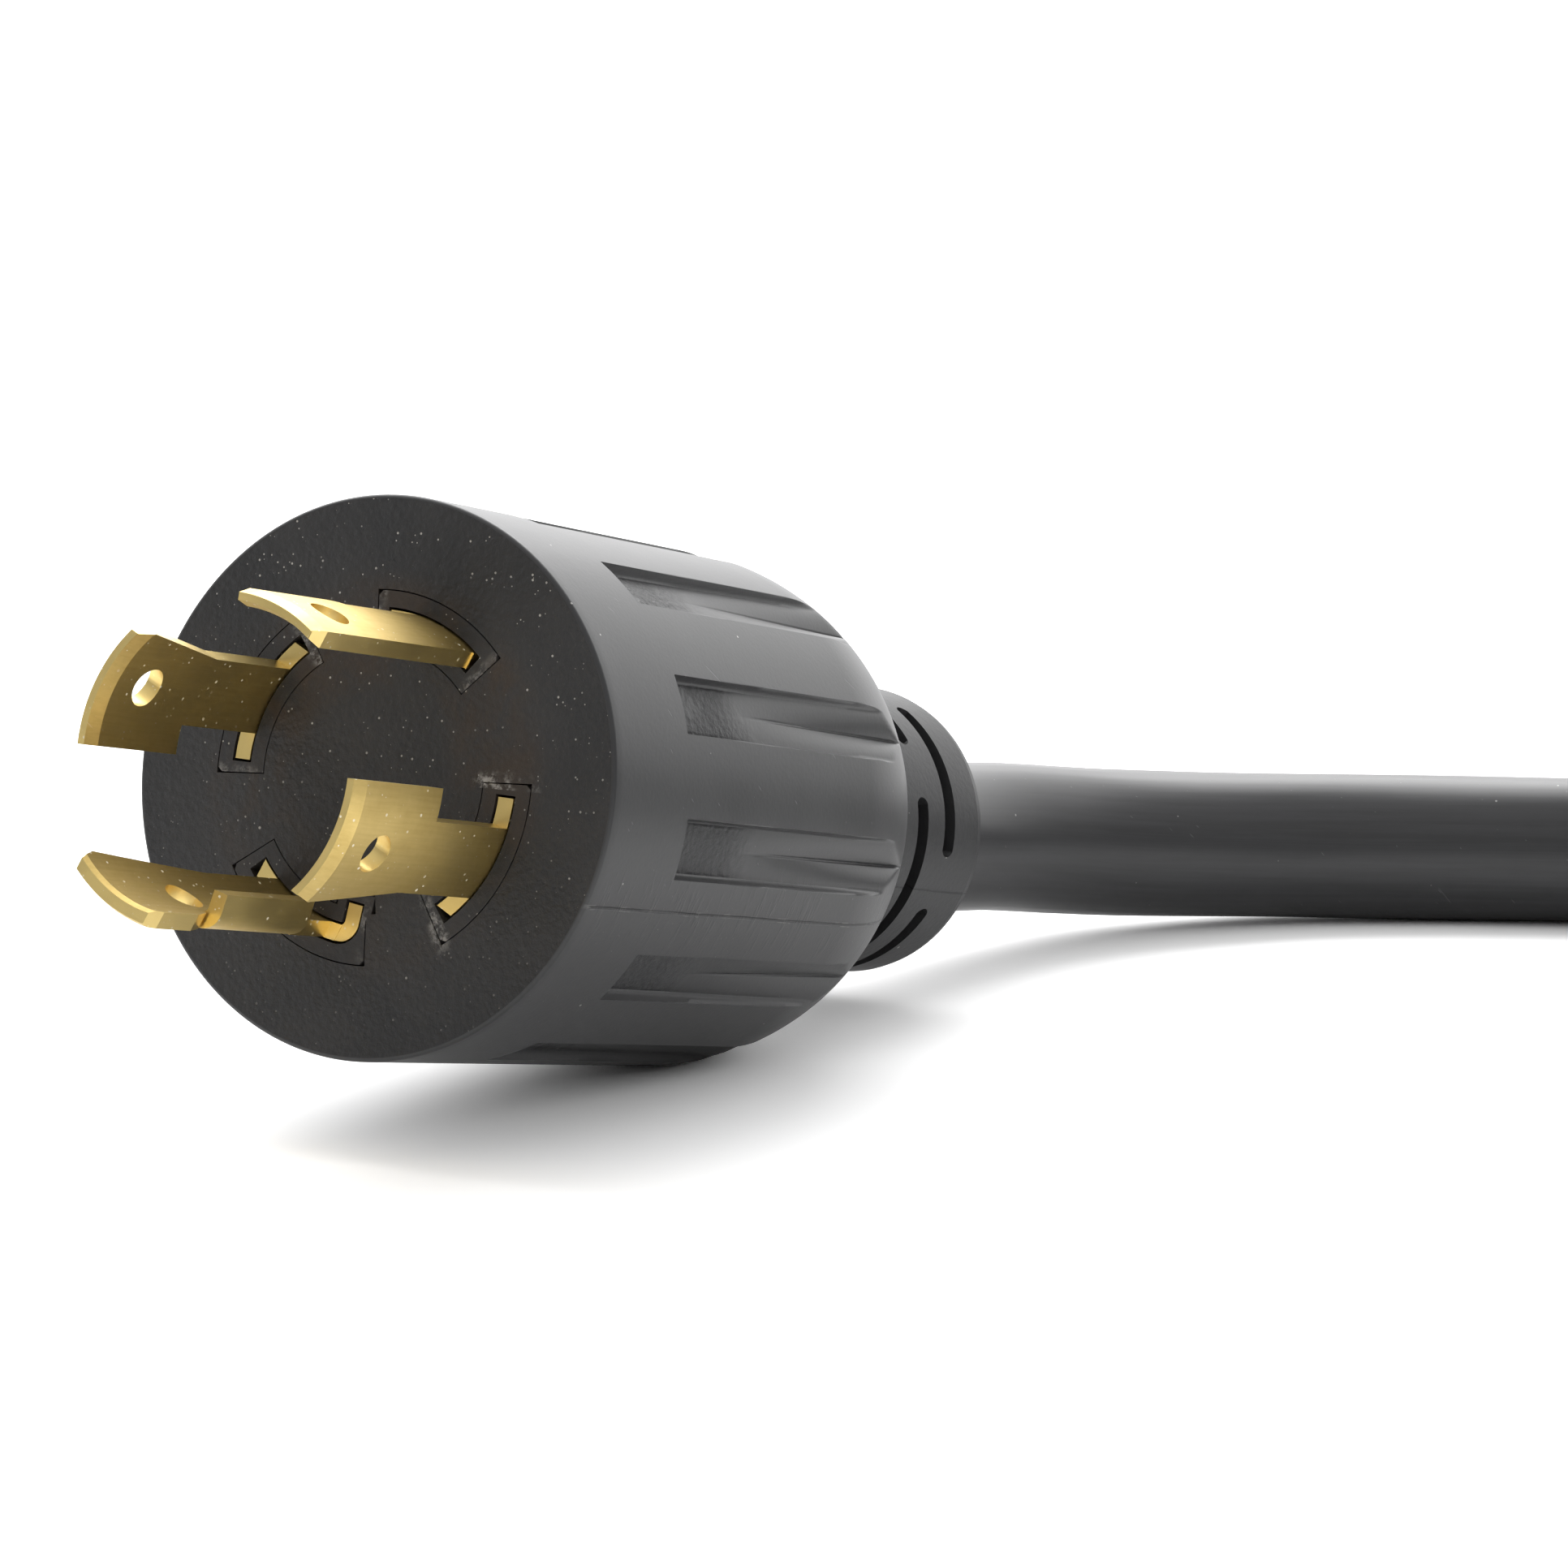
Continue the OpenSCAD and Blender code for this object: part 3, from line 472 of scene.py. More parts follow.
def dust_group():
    """Small pale specks: cells of which only some hold a speck, each with its own size."""
    tree, size, last = group("dust specks", {"Spacing": 0.002, "Size": 0.12, "Share": 0.3}, ["Mask"])
    far, grade, held = cells(size["Vector"], size)
    wide = size["Size"] * (grade * grade + 0.3)
    lint = noise(size["Vector"].socket, 1 / size["Spacing"], 2) * 0.09
    feed(tree, (far + lint).ramp(wide, wide + 0.04, 1, 0) * held, last.inputs["Mask"])
    return tree


def grain_group():
    """Height of a spark-eroded mould surface: fine craters on a slower unevenness."""
    tree, size, last = group("mould grain", {"Spacing": 0.0006}, ["Height"])
    pits = node(tree, "ShaderNodeTexVoronoi", {"Vector": size["Vector"], "Scale": 1 / size["Spacing"],
                                               "Smoothness": 0.6}, feature="SMOOTH_F1")
    fine = noise(size["Vector"].socket, 2.2 / size["Spacing"], 4, 0.6)
    slow = noise(size["Vector"].socket, 0.16 / size["Spacing"], 3)
    feed(tree, out(pits, "Distance") * 0.5 + fine * 0.5 + slow * 0.6, last.inputs["Height"])
    return tree


def scratch_group():
    """Hairline scratches: very long thin cells in two directions, of which only some hold a scratch."""
    tree, size, last = group("fine scratches", {"Spacing": 0.0012, "Width": 0.05, "Share": 0.5}, ["Mask"])
    marks = None
    for x, y, z, turn in ((1, 1, 0.02, 0.35), (0.03, 1, 1, 1.1)):
        lean = node(tree, "ShaderNodeMapping", {"Vector": size["Vector"], "Rotation": (turn, turn * 2, turn / 2)})
        far, _, held = cells(stretched(lean.outputs[0], x, y, z), size)
        mark = far.ramp(size["Width"], size["Width"] * 2, 1, 0) * held
        marks = mark if marks is None else marks.max(mark)
    feed(tree, marks, last.inputs["Mask"])
    return tree


def place_group(name, origin, turn, mirror):
    """Where a point is in a moulding's own frame: its place, radius, angle in degrees and height."""
    tree, size, last = group(name, {}, ["Place", "Radius", "Angle", "Height"])
    local = node(tree, "ShaderNodeMapping", {"Vector": size["Vector"], "Location": tuple(origin),
                                             "Rotation": tuple(turn.to_euler()), "Scale": (mirror, 1, 1)},
                 vector_type="TEXTURE")
    axes = node(tree, "ShaderNodeSeparateXYZ", {0: local.outputs[0]})
    x, y, z = out(axes, 0), out(axes, 1), out(axes, 2)
    tree.links.new(local.outputs[0], last.inputs["Place"])
    feed(tree, (x * x + y * y) ** 0.5 * 1000, last.inputs["Radius"])
    angle = y.math("ARCTAN2", x) * (180 / math.pi)
    feed(tree, (angle + 360).math("MODULO", 360), last.inputs["Angle"])
    feed(tree, z * 1000, last.inputs["Height"])
    return tree


DUST, GRAIN, SCRATCHES = dust_group(), grain_group(), scratch_group()
PLUG_PLACE = place_group("plug frame", PLUG_FACE, plug_turn, 1)
CONNECTOR_PLACE = place_group("connector frame", CONNECTOR_FACE, connector_turn, -1)


def use(kind, vector, **sizes):
    """Places a shared group in a material with its own sizes."""
    sizes = {k.capitalize(): v for k, v in sizes.items()}
    return out(node(vector.id_data, "ShaderNodeGroup", {"Vector": vector, **sizes}, node_tree=kind))


print("groups:", [g.name for g in (DUST, GRAIN, SCRATCHES, PLUG_PLACE, CONNECTOR_PLACE)])


# %% Helpers for materials
def finish(name, **constants):
    """A material, new unless it is there, with its tree, Principled shader and Object coordinates."""
    made = bpy.data.materials.get(name) or bpy.data.materials.new(name)
    made.use_nodes = True
    tree = made.node_tree
    shader = tree.nodes["Principled BSDF"]
    for label, value in constants.items():
        shader.inputs[label.replace("_", " ")].default_value = value
    place = tree.nodes.new("ShaderNodeTexCoord").outputs["Object"]
    return made, tree, shader, place


def blend_colour(mask, one, two):
    """Colour one where the mask is 0 and colour two where it is 1."""
    one, two = ((*c, 1) if isinstance(c, tuple) else c for c in (one, two))
    return node(mask.tree, "ShaderNodeMix", {0: mask, 6: one, 7: two}, data_type="RGBA").outputs[2]


def paint(shader, tone, rough, height, deep=MM):
    """Feeds a colour, a roughness and a bump's height, a full step of which is deep metres."""
    bump = node(shader.id_data, "ShaderNodeBump", {"Height": height, "Distance": deep, "Strength": 1.0})
    for name, value in (("Base Color", tone), ("Roughness", rough), ("Normal", bump.outputs[0])):
        feed(shader.id_data, value, shader.inputs[name])


def from_seam(angle):
    """How many degrees it is to the nearer parting line."""
    return (angle - SEAMS[0]).abs().min((angle - SEAMS[1]).abs())


def dress(material, *objects):
    """Gives pieces or CAD nodes one material."""
    for each in objects:
        each = nodes[each] if isinstance(each, str) else each
        each.data.materials.clear()
        each.data.materials.append(material)


# %% [markdown]
# ## Moulded vinyl
# The grip is soft black vinyl with a satin skin. New, it is even, so what makes it real is small: a
# slightly uneven sheen, rough pads where each recess begins, the thin parting line of the two mould
# halves with a little flash on it, rubbed spots and specks of dust. All of it is tied to the plug's own
# angles and distances, so it stays in place from every side.


# %% Body vinyl
def body_vinyl(name, frame_group):
    """Satin vinyl; the factors 0.47 and 0.46 turn degrees round the axis into millimetres."""
    made, tree, shader, place = finish(name, IOR=1.5, Specular_IOR_Level=0.36)
    at = node(tree, "ShaderNodeGroup", {"Vector": place}, node_tree=frame_group)
    radius, angle, height = out(at, "Radius"), out(at, "Angle"), out(at, "Height")
    back = height * -1
    seam_wave = noise(place, 90, 3) * 0.5 - 0.25
    seam = from_seam(angle + seam_wave) * 0.47
    line = seam.ramp(0.05, 0.20, 1, 0) * back.ramp(0.4, 1.2)
    line = line * noise(place, 260, 2).ramp(0.3, 0.45, 0.45, 1)
    flash = seam.ramp(0.16, 0.34, 1, 0) * (1 - line) * noise(place, 420, 2).ramp(0.52, 0.66)
    ticks = noise(stretched(at.outputs["Place"], 1, 1, 5), 260, 3, 0.6)
    beside = seam.ramp(0.4, 6.0, 1, 0) * ticks.ramp(0.5, 0.66) * noise(place, 70, 2).ramp(0.45, 0.6)
    pitch = 360 / RECESSES
    across = (((angle - FIRST_RECESS) / pitch + 0.5).fract() * pitch - pitch / 2).abs() * 0.46
    uneven = noise(place, 230, 3)
    pads = (back + uneven * 8 - 4).band(17, 5, 9) * across.ramp(2.2, 2.9, 1, 0) * radius.ramp(26.0, 26.4, 1, 0)
    pads = pads * uneven.ramp(0.3, 0.5, 0.4, 1)
    # painted shade: this mask darkens a thin line along the middle of each recess's rear part, where shade falls
    # in the crease; it also sinks the bump a little
    crease = across.ramp(0.03, 0.24, 1, 0) * back.ramp(27, 38) * radius.ramp(26.0, 26.4, 1, 0)
    dust = use(DUST, place, spacing=0.0019, size=0.09, share=0.22)
    marks = use(SCRATCHES, place, spacing=0.0012, width=0.04, share=0.5)
    grain = use(GRAIN, place, spacing=0.0005)
    rough_pad = use(GRAIN, place, spacing=0.00075)
    slow = noise(place, 60, 4, 0.55)
    tone = blend_colour(slow.ramp(0.3, 0.7), (0.025, 0.025, 0.026), (0.033, 0.033, 0.034))
    # the parting line is darkened as a real mark, and the crease mask as painted shade
    tone = blend_colour((line * 0.9).max(crease * 0.8), tone, (0.008, 0.008, 0.009))
    tone = blend_colour(pads * rough_pad.ramp(0.55, 0.95) * 0.5, tone, (0.024, 0.024, 0.025))
    tone = blend_colour(marks * 0.3, tone, (0.14, 0.14, 0.145))
    tone = blend_colour((dust * 0.7).max(flash * 0.16), tone, (0.45, 0.44, 0.42))
    rise = grain * 0.012 + rough_pad * pads * 0.24 - (line + crease * 0.5) * 0.12 + flash * 0.05
    rise = rise + beside * 0.025 + slow * 0.05 + marks * -0.01
    paint(shader, tone, (0.36 + slow * 0.10 + pads * 0.16).min(0.7), rise)
    return made


body_finish = body_vinyl("plug body vinyl", PLUG_PLACE)
connector_finish = body_vinyl("connector body vinyl", CONNECTOR_PLACE)
print("made", body_finish.name, "and", connector_finish.name)

# %% [markdown]
# ## The mating face
# The face was moulded against a spark-eroded plate, so it is finely pitted and nearly black. Use has left
# it dusty, most of all on its upper half where dust settles. Round the blades it carries a painted brown
# reflection of the brass, stronger towards the top.
# The harder bosses round the blades are smoother, with pale scuffs at their ends where they rub in
# the receptacle.


# %% Face and insulator
def face_vinyl(name, frame_group, hard, corners=()):
    """Pitted dark face; corners are (angle, reach, strength) of the scuffs at the ends of the bosses."""
    made, tree, shader, place = finish(name, IOR=1.48, Specular_IOR_Level=0.3)
    at = node(tree, "ShaderNodeGroup", {"Vector": place}, node_tree=frame_group)
    radius, angle = out(at, "Radius"), out(at, "Angle")
    y = out(node(tree, "ShaderNodeSeparateXYZ", {0: at.outputs["Place"]}), 1) * 1000
    grain = use(GRAIN, place, spacing=0.0009 if hard else 0.0007)
    upper = y.ramp(-24, 24)
    small = use(DUST, place, spacing=0.0007, size=0.16, share=1.0) * 0.75
    large = use(DUST, place, spacing=0.0024, size=0.075, share=0.45)
    settled = small * noise(place, 210, 4, 0.65).ramp(0.38, 0.52) * (upper * 0.8 + 0.2)
    dust = settled.max(large * (upper * 0.6 + 0.4))
    slow = noise(place, 95, 4, 0.6)
    brown = noise(place, 110, 4, 0.65, 0.5).ramp(0.36, 0.6)
    # painted reflection: a brown tint in a ring round the blades, stronger towards the top, stands for the brass
    # mirrored in the face
    painted_brass_reflection = brown * radius.band(14.2, 3.0, 3.5) * y.ramp(-14, 6, 0.3, 1)
    tone = blend_colour(slow.ramp(0.3, 0.7), (0.020, 0.020, 0.021), (0.028, 0.027, 0.027))
    tone = blend_colour(painted_brass_reflection * 0.8, tone, (0.036, 0.025, 0.017))
    scuff = None
    for edge, reach, strength in corners:
        spot = (angle - edge % 360).abs().ramp(0.5, reach, strength, 0) * radius.band(BLADE_MID, 2.2, 2.0)
        scuff = spot if scuff is None else scuff.max(spot)
    if scuff is not None:
        worn = noise(place, 1100, 5, 0.75).ramp(0.42, 0.62) * noise(place, 300, 3).ramp(0.36, 0.56)
        scuff = scuff * worn
        tone = blend_colour(scuff * 0.7, tone, (0.46, 0.44, 0.41))
    tone = blend_colour(dust * 0.8, tone, (0.55, 0.52, 0.47))
    rise = grain * (0.10 if hard else 0.22) + dust * 0.02
    paint(shader, tone, 0.52 + slow * 0.16, rise if scuff is None else rise + scuff * 0.03)
    return made


SCUFFS = ((43.5, 4, 0.5), (94, 4, 0.7), (123.4, 7, 0.9), (182.6, 4, 0.4), (302.9, 5, 0.7), (362, 9, 1.0),
          (273.5, 4, 0.3))
face_finish = face_vinyl("face vinyl", PLUG_PLACE, False, ((362, 6, 1.0), (302.9, 4, 0.5)))
insulator_finish = face_vinyl("hard insulator", PLUG_PLACE, True, SCUFFS)
socket_finish = face_vinyl("connector insulator", CONNECTOR_PLACE, True)
print("made", face_finish.name, "and", insulator_finish.name)

# %% [markdown]
# ## Brass blades
# The blades are stamped from brass sheet. Their rolled faces are smooth with faint drawing lines and
# tarnish, their sheared edges and coined bevels are cleaner and more yellow. The two are told apart by
# the direction that a surface faces: on a sheet face it points straight away from the plug's axis. Dust
# isn't metal, so the specks lower Metallic as well, and show even where the brass mirrors something dark.


# %% Brass
def brass(name, tarnish, frame_group, place_turn, mirror):
    """Sheet brass: yellower and cleaner on its sheared edges, drawn, dull and dusty on its faces."""
    made, tree, shader, place = finish(name)
    at = node(tree, "ShaderNodeGroup", {"Vector": place}, node_tree=frame_group)
    local = node(tree, "ShaderNodeSeparateXYZ", {0: at.outputs["Place"]})
    level = node(tree, "ShaderNodeCombineXYZ", {0: out(local, 0), 1: out(local, 1)})
    outward = node(tree, "ShaderNodeVectorMath", {0: level.outputs[0]}, operation="NORMALIZE")
    facing = node(tree, "ShaderNodeNewGeometry").outputs["True Normal"]
    turn = node(tree, "ShaderNodeMapping", {"Vector": facing, "Rotation": tuple(place_turn.to_euler()),
                                            "Scale": (mirror, 1, 1)}, vector_type="TEXTURE")
    lean = node(tree, "ShaderNodeVectorMath", {0: turn.outputs[0], 1: outward.outputs[0]},
                operation="DOT_PRODUCT")
    sheared = out(lean, "Value").abs().ramp(0.5, 0.93, 1, 0)
    drawn = noise(stretched(at.outputs["Place"], 1, 1, 0.05), 2600, 3, 0.6)
    blotch = noise(place, 150, 4, 0.6)
    fine = use(SCRATCHES, place, spacing=0.0008, width=0.05, share=0.6)
    settled = noise(place, 240, 3, 0.6).ramp(0.38, 0.56, 0.25, 1)
    dust = use(DUST, place, spacing=0.0008, size=0.18, share=1.0) * settled
    spots = noise(place, 520, 3, 0.6).ramp(0.66, 0.74)
    dull = (blotch.ramp(0.36, 0.7) * 0.7 + drawn.ramp(0.35, 0.7) * 0.3) * tarnish
    tone = blend_colour(dull, (0.62, 0.465, 0.175), (0.50, 0.365, 0.125))
    tone = blend_colour(sheared * 0.8, tone, (0.74, 0.57, 0.225))
    tone = blend_colour(spots * (1 - sheared) * 0.22 * tarnish, tone, (0.44, 0.33, 0.15))
    tone = blend_colour(fine * 0.25, tone, (0.88, 0.80, 0.60))
    tone = blend_colour(dust * 0.85, tone, (0.80, 0.74, 0.58))
    feed(tree, 1 - dust * 0.9, shader.inputs["Metallic"])
    paint(shader, tone, 0.42 + dull * 0.10 + dust * 0.25 + fine * 0.08 - sheared * 0.08,
          drawn * (1 - sheared) * 0.006 + fine * -0.003 + blotch * 0.003 + dust * 0.004)
    return made


blade_finish = brass("blade brass", 1.0, PLUG_PLACE, plug_turn, 1)
contact_finish = brass("contact brass", 0.6, CONNECTOR_PLACE, connector_turn, -1)
dress(blade_finish, "blade_neutral", "blade_hot_x", "blade_hot_y", "blade_ground")
dress(contact_finish, "contact_neutral", "contact_hot_x", "contact_hot_y", "contact_ground")
dress(insulator_finish, "plug_carrier")
dress(socket_finish, "connector_core")
print("made", blade_finish.name, "and", contact_finish.name)

# %% [markdown]
# ## Relief, cable and straps
# The relief is a blacker, matt vinyl. The jacket's highlight wanders with the swell of its cores, and its
# own coordinates, kept as attributes, carry a faint extrusion streak along its whole length. The straps
# are loop cloth, whose tiny loops are a soft fuzz with a sheen from here.


# %% Relief, jacket, cloth and the hidden compounds
def relief_vinyl(name, frame_group):
    made, tree, shader, place = finish(name, IOR=1.5, Specular_IOR_Level=0.3)
    at = node(tree, "ShaderNodeGroup", {"Vector": place}, node_tree=frame_group)
    angle = out(at, "Angle") + noise(place, 120, 3) * 0.8 - 0.4
    line = (from_seam(angle) * 0.27).ramp(0.03, 0.15, 1, 0)
    grain = use(GRAIN, place, spacing=0.0006)
    dust = use(DUST, place, spacing=0.002, size=0.09, share=0.3)
    slow = noise(place, 110, 4, 0.6)
    tone = blend_colour(slow.ramp(0.3, 0.7), (0.017, 0.017, 0.018), (0.024, 0.024, 0.025))
    tone = blend_colour(line * 0.8, tone, (0.010, 0.010, 0.011))
    tone = blend_colour(dust * 0.6, tone, (0.40, 0.39, 0.37))
    paint(shader, tone, 0.44 + slow * 0.14, grain * 0.03 + slow * 0.06 - line * 0.1)
    return made


def dress_jacket():
    _, tree, shader, place = finish(jacket_finish.name, Specular_IOR_Level=0.28)
    along = out(node(tree, "ShaderNodeAttribute", attribute_name="along"), "Fac")
    around = out(node(tree, "ShaderNodeAttribute", attribute_name="around"), "Fac")
    turn = around * (2 * math.pi)
    track = node(tree, "ShaderNodeCombineXYZ", {0: turn.cos(), 1: turn.sin(), 2: along * 4.0})
    streaks = noise(track.outputs[0], 9, 4, 0.6)
    slow = noise(place, 45, 3, 0.5)
    dust = use(DUST, place, spacing=0.0028, size=0.08, share=0.16)
    marks = use(SCRATCHES, place, spacing=0.0012, width=0.04, share=0.4)
    tone = blend_colour(streaks.ramp(0.3, 0.7), (0.032, 0.032, 0.033), (0.040, 0.040, 0.042))
    tone = blend_colour(marks * 0.3, tone, (0.13, 0.13, 0.13))
    tone = blend_colour(dust * 0.6, tone, (0.42, 0.41, 0.39))
    paint(shader, tone, 0.33 + streaks * 0.06, slow * 0.12 + marks * -0.01)


def dress_cloth():
    _, tree, shader, place = finish(strap_finish.name, Sheen_Weight=0.35, Sheen_Roughness=0.4)
    loops = node(tree, "ShaderNodeTexVoronoi", {"Vector": place, "Scale": 1400.0})
    fuzz = noise(place, 2400, 4, 0.7)
    worn = noise(place, 130, 4, 0.6)
    tone = blend_colour((fuzz + worn * 0.5).ramp(0.5, 1.0), (0.012, 0.012, 0.013), (0.040, 0.040, 0.043))
    paint(shader, tone, 0.85 + worn * 0.1, (1 - out(loops)) * 0.3 + fuzz * 0.4, 0.6 * MM)


def compound(name, dark, light, rough):
    """A plain moulding compound or insulation: two close tones, a soft grain and a little dust."""
    made, _, shader, place = finish(name, IOR=1.5)
    slow = noise(place, 120, 4, 0.6)
    grain = use(GRAIN, place, spacing=0.0008)
    dust = use(DUST, place, spacing=0.0026, size=0.07, share=0.12)
    tone = blend_colour(slow.ramp(0.3, 0.7), dark, light)
    tone = blend_colour(dust * 0.4, tone, (0.5, 0.49, 0.47))
    paint(shader, tone, rough + slow * 0.1, grain * 0.012 + slow * 0.03)
    return made


COMPOUNDS = (
    ("inner compound", (0.085, 0.085, 0.093), (0.11, 0.11, 0.12), 0.6, "inner"),
    ("white insulation", (0.74, 0.73, 0.69), (0.82, 0.81, 0.78), 0.25, "wire_neutral"),
    ("black insulation", (0.024, 0.024, 0.024), (0.034, 0.034, 0.034), 0.25, "wire_hot_x"),
    ("red insulation", (0.44, 0.024, 0.022), (0.52, 0.034, 0.032), 0.25, "wire_hot_y"),
    ("green insulation", (0.016, 0.26, 0.07), (0.024, 0.32, 0.09), 0.25, "wire_ground"))
for name, dark, light, rough, kind in COMPOUNDS:
    dress(compound(name, dark, light, rough), "plug_" + kind, "connector_" + kind)
dress_jacket()
dress_cloth()
dress(relief_vinyl("plug relief vinyl", PLUG_PLACE), "plug_relief")
dress(relief_vinyl("connector relief vinyl", CONNECTOR_PLACE), "connector_relief")
dress(jacket_finish, "plug_cable_end", "connector_cable_end", "cord_run", "cord_coil")
dress(strap_finish, "strap_near", "strap_far")
dress(body_finish, "plug_body")
dress(connector_finish, "connector_body")
print("materials:", len(bpy.data.materials))

# %% [markdown]
# ## The grip
# One skin runs from the mating face over the rim, along the grip and round the shoulder to the relief.
# It is a lathed surface that twelve recesses are pressed into. The recesses follow a rule, so Geometry
# Nodes press them: at each point the tree works out how far it is across the nearest recess and how far
# behind the face, and lowers the surface to the recess floor there. The floor is flat at first; further
# back a crease opens in it, and the recess runs out by itself where the shoulder falls below its floor.

# %% Profile of the grip
BODY_D, GRIP_D, GRIP_LEN, RIM = 55.0, 53.8, 33.65, 0.4
SHOULDER_LEN, SHOULDER_DROP, SHOULDER_TURN = 24.0, 17.6, 60
RECESS_W, RECESS_DEEP, RECESS_START, CREASE_START, CREASE_DEEP = 6.0, 0.8, 14.25, 26.0, 1.3
RELIEF_D, MOUTH_R, LIP_R = 31.4, 24.05, 26.3
PLUG_DEPTH, CONNECTOR_DEPTH = 17, 21


def body_profile(insulator_depth, mouth):
    """[radius, height] from the face to where the relief comes out, face at height 0."""
    end = insulator_depth + GRIP_LEN
    line = [(LIP_R, -0.06)]
    if mouth:
        line = [(MOUTH_R, -4), (MOUTH_R, -0.4), (MOUTH_R + 0.1, -0.12), (MOUTH_R + 0.4, 0)]
    line += [(BODY_D / 2 - RIM + RIM * math.sin(a), -RIM + RIM * math.cos(a))
             for a in np.radians(np.arange(0, 91, 15))]
    # the rings lie close together where the recesses begin
    heights = [1.6, 4, 7, 10, 12.5, 13.8, 14.1, 14.2, 14.3, 14.4, 14.55, 14.75, 15, 15.4, 16]
    heights += list(np.arange(17, end - 0.3, 1.0))
    line += [(BODY_D / 2 + (GRIP_D - BODY_D) / 2 * (h - RIM) / (end - RIM), -h) for h in heights]
    line += [(GRIP_D / 2 - SHOULDER_DROP * (1 - math.cos(a)), -end - SHOULDER_LEN * math.sin(a))
             for a in np.radians(np.arange(0, SHOULDER_TURN + 0.1, 1.5))]
    # the rear edge turns in to the relief with a small radius
    r, z = line[-1]
    return line + [(r - 0.35, z - 0.14), (r - 0.8, z - 0.16), (RELIEF_D / 2 + 0.1, z - 0.16),
                   (RELIEF_D / 2 + 0.06, z + 3)]


def recess_angles():
    """Angles round the grip, close together at the sides of each recess."""
    across = [0, 0.12, 0.3, 0.6, 1.0, 1.4, 1.8, 2.1, 2.35, 2.55, 2.7, 2.82, 2.92, 2.99, 3.05, 3.12, 3.3, 3.8,
              4.6, 5.6, 6.5]
    half = [a / LIP_R * 180 / math.pi for a in across]
    one = sorted({round(-a, 4) for a in half} | {round(a, 4) for a in half})
    return np.array([FIRST_RECESS + 360 / RECESSES * k + a for k in range(RECESSES) for a in one])


print("grip has", len(body_profile(PLUG_DEPTH, False)), "rings of", len(recess_angles()), "points")


# %% The tree that presses the recesses
def press_tree():
    tree, size = rule_tree("press recesses", {
        "Count": RECESSES, "Width": RECESS_W, "Depth": RECESS_DEEP, "Start": RECESS_START,
        "Floor": GRIP_D / 2 - RECESS_DEEP, "Crease start": CREASE_START, "Crease": CREASE_DEEP,
        "Run out": 60.0, "Finish": None})
    spot = node(tree, "GeometryNodeInputPosition")
    axes = node(tree, "ShaderNodeSeparateXYZ", {0: spot.outputs[0]})
    x, y, z = out(axes, 0) * 1000, out(axes, 1) * 1000, out(axes, 2) * 1000
    radius = (x * x + y * y) ** 0.5
    step = 360 / size["Count"]
    turn = y.math("ARCTAN2", x) * (180 / math.pi) - FIRST_RECESS + 360
    across = (((turn / step + 0.5).fract() - 0.5) * step * (math.pi / 180) * radius).abs()
    back = z * -1
    inside = size["Width"] * 0.5 - across
    behind = back - size["Start"]
    # the wall eases into the floor, and the wall beyond the edge is steep
    wall = (1 - (inside.min(behind) / 0.42)).max(0).min(1) ** 2 * size["Depth"]
    steep = (inside.min(behind) * -14).max(0)
    lean = size["Crease"] / (size["Run out"] - size["Crease start"])
    crease = (back - size["Crease start"]).max(0) * lean
    vee = crease * (1 - across / (size["Width"] * 0.45)).max(0) ** 1.7
    floor_r = size["Floor"] + wall + steep - vee
    pressed = radius.min(floor_r.max(radius - 4))
    share = pressed / radius
    move = node(tree, "ShaderNodeCombineXYZ", {0: x * share * MM, 1: y * share * MM, 2: z * MM})
    place = node(tree, "GeometryNodeSetPosition", {"Geometry": size["Geometry"], "Position": move.outputs[0]})
    end_tree(tree, place.outputs[0], size["Finish"])
    return tree


press = press_tree()


def grip_skin(name, insulator_depth, mouth, material):
    """The lathed grip with its recesses pressed in, in its own frame."""
    profile, angles = body_profile(insulator_depth, mouth), np.radians(recess_angles())
    ring = np.column_stack([np.cos(angles), np.sin(angles)])
    points = [(r * c, r * s, z) for r, z in profile for c, s in ring]
    blank = piece(name + "_blank", points, ring_faces(len(profile), len(angles)))
    return grown(name, press, {"Finish": material, "Run out": insulator_depth + 43.0}, blank)


plug_skin = grip_skin("plug_grip", PLUG_DEPTH, False, body_finish)
connector_skin = grip_skin("connector_grip", CONNECTOR_DEPTH, True, connector_finish)
print("grip skins:", len(plug_skin.data.polygons), "and", len(connector_skin.data.polygons), "faces")

# %% [markdown]
# ## The plug's face
# The face is a flat disc with four curved windows for the bosses. A grid in rings and sectors fits it
# exactly: lines lie at the windows' edges, the cells inside are left out, and short walls go back from
# the edges, so that a thin dark groove shows round each boss.

# %% Face
GROOVE = 0.12
# each boss: its blade's angle and how far it reaches before and after it
BOSSES = ((64, 20.5, 30), (153.25, 29.8, 29.3), (332.75, 29.8, 29.3), (244, 31, 29.5))
BOSS_IN, BOSS_OUT = 12.8 - GROOVE, 18.15 + GROOVE
FLANGE_WINDOW = (10.95, 13.25, 257.4, 278.6)


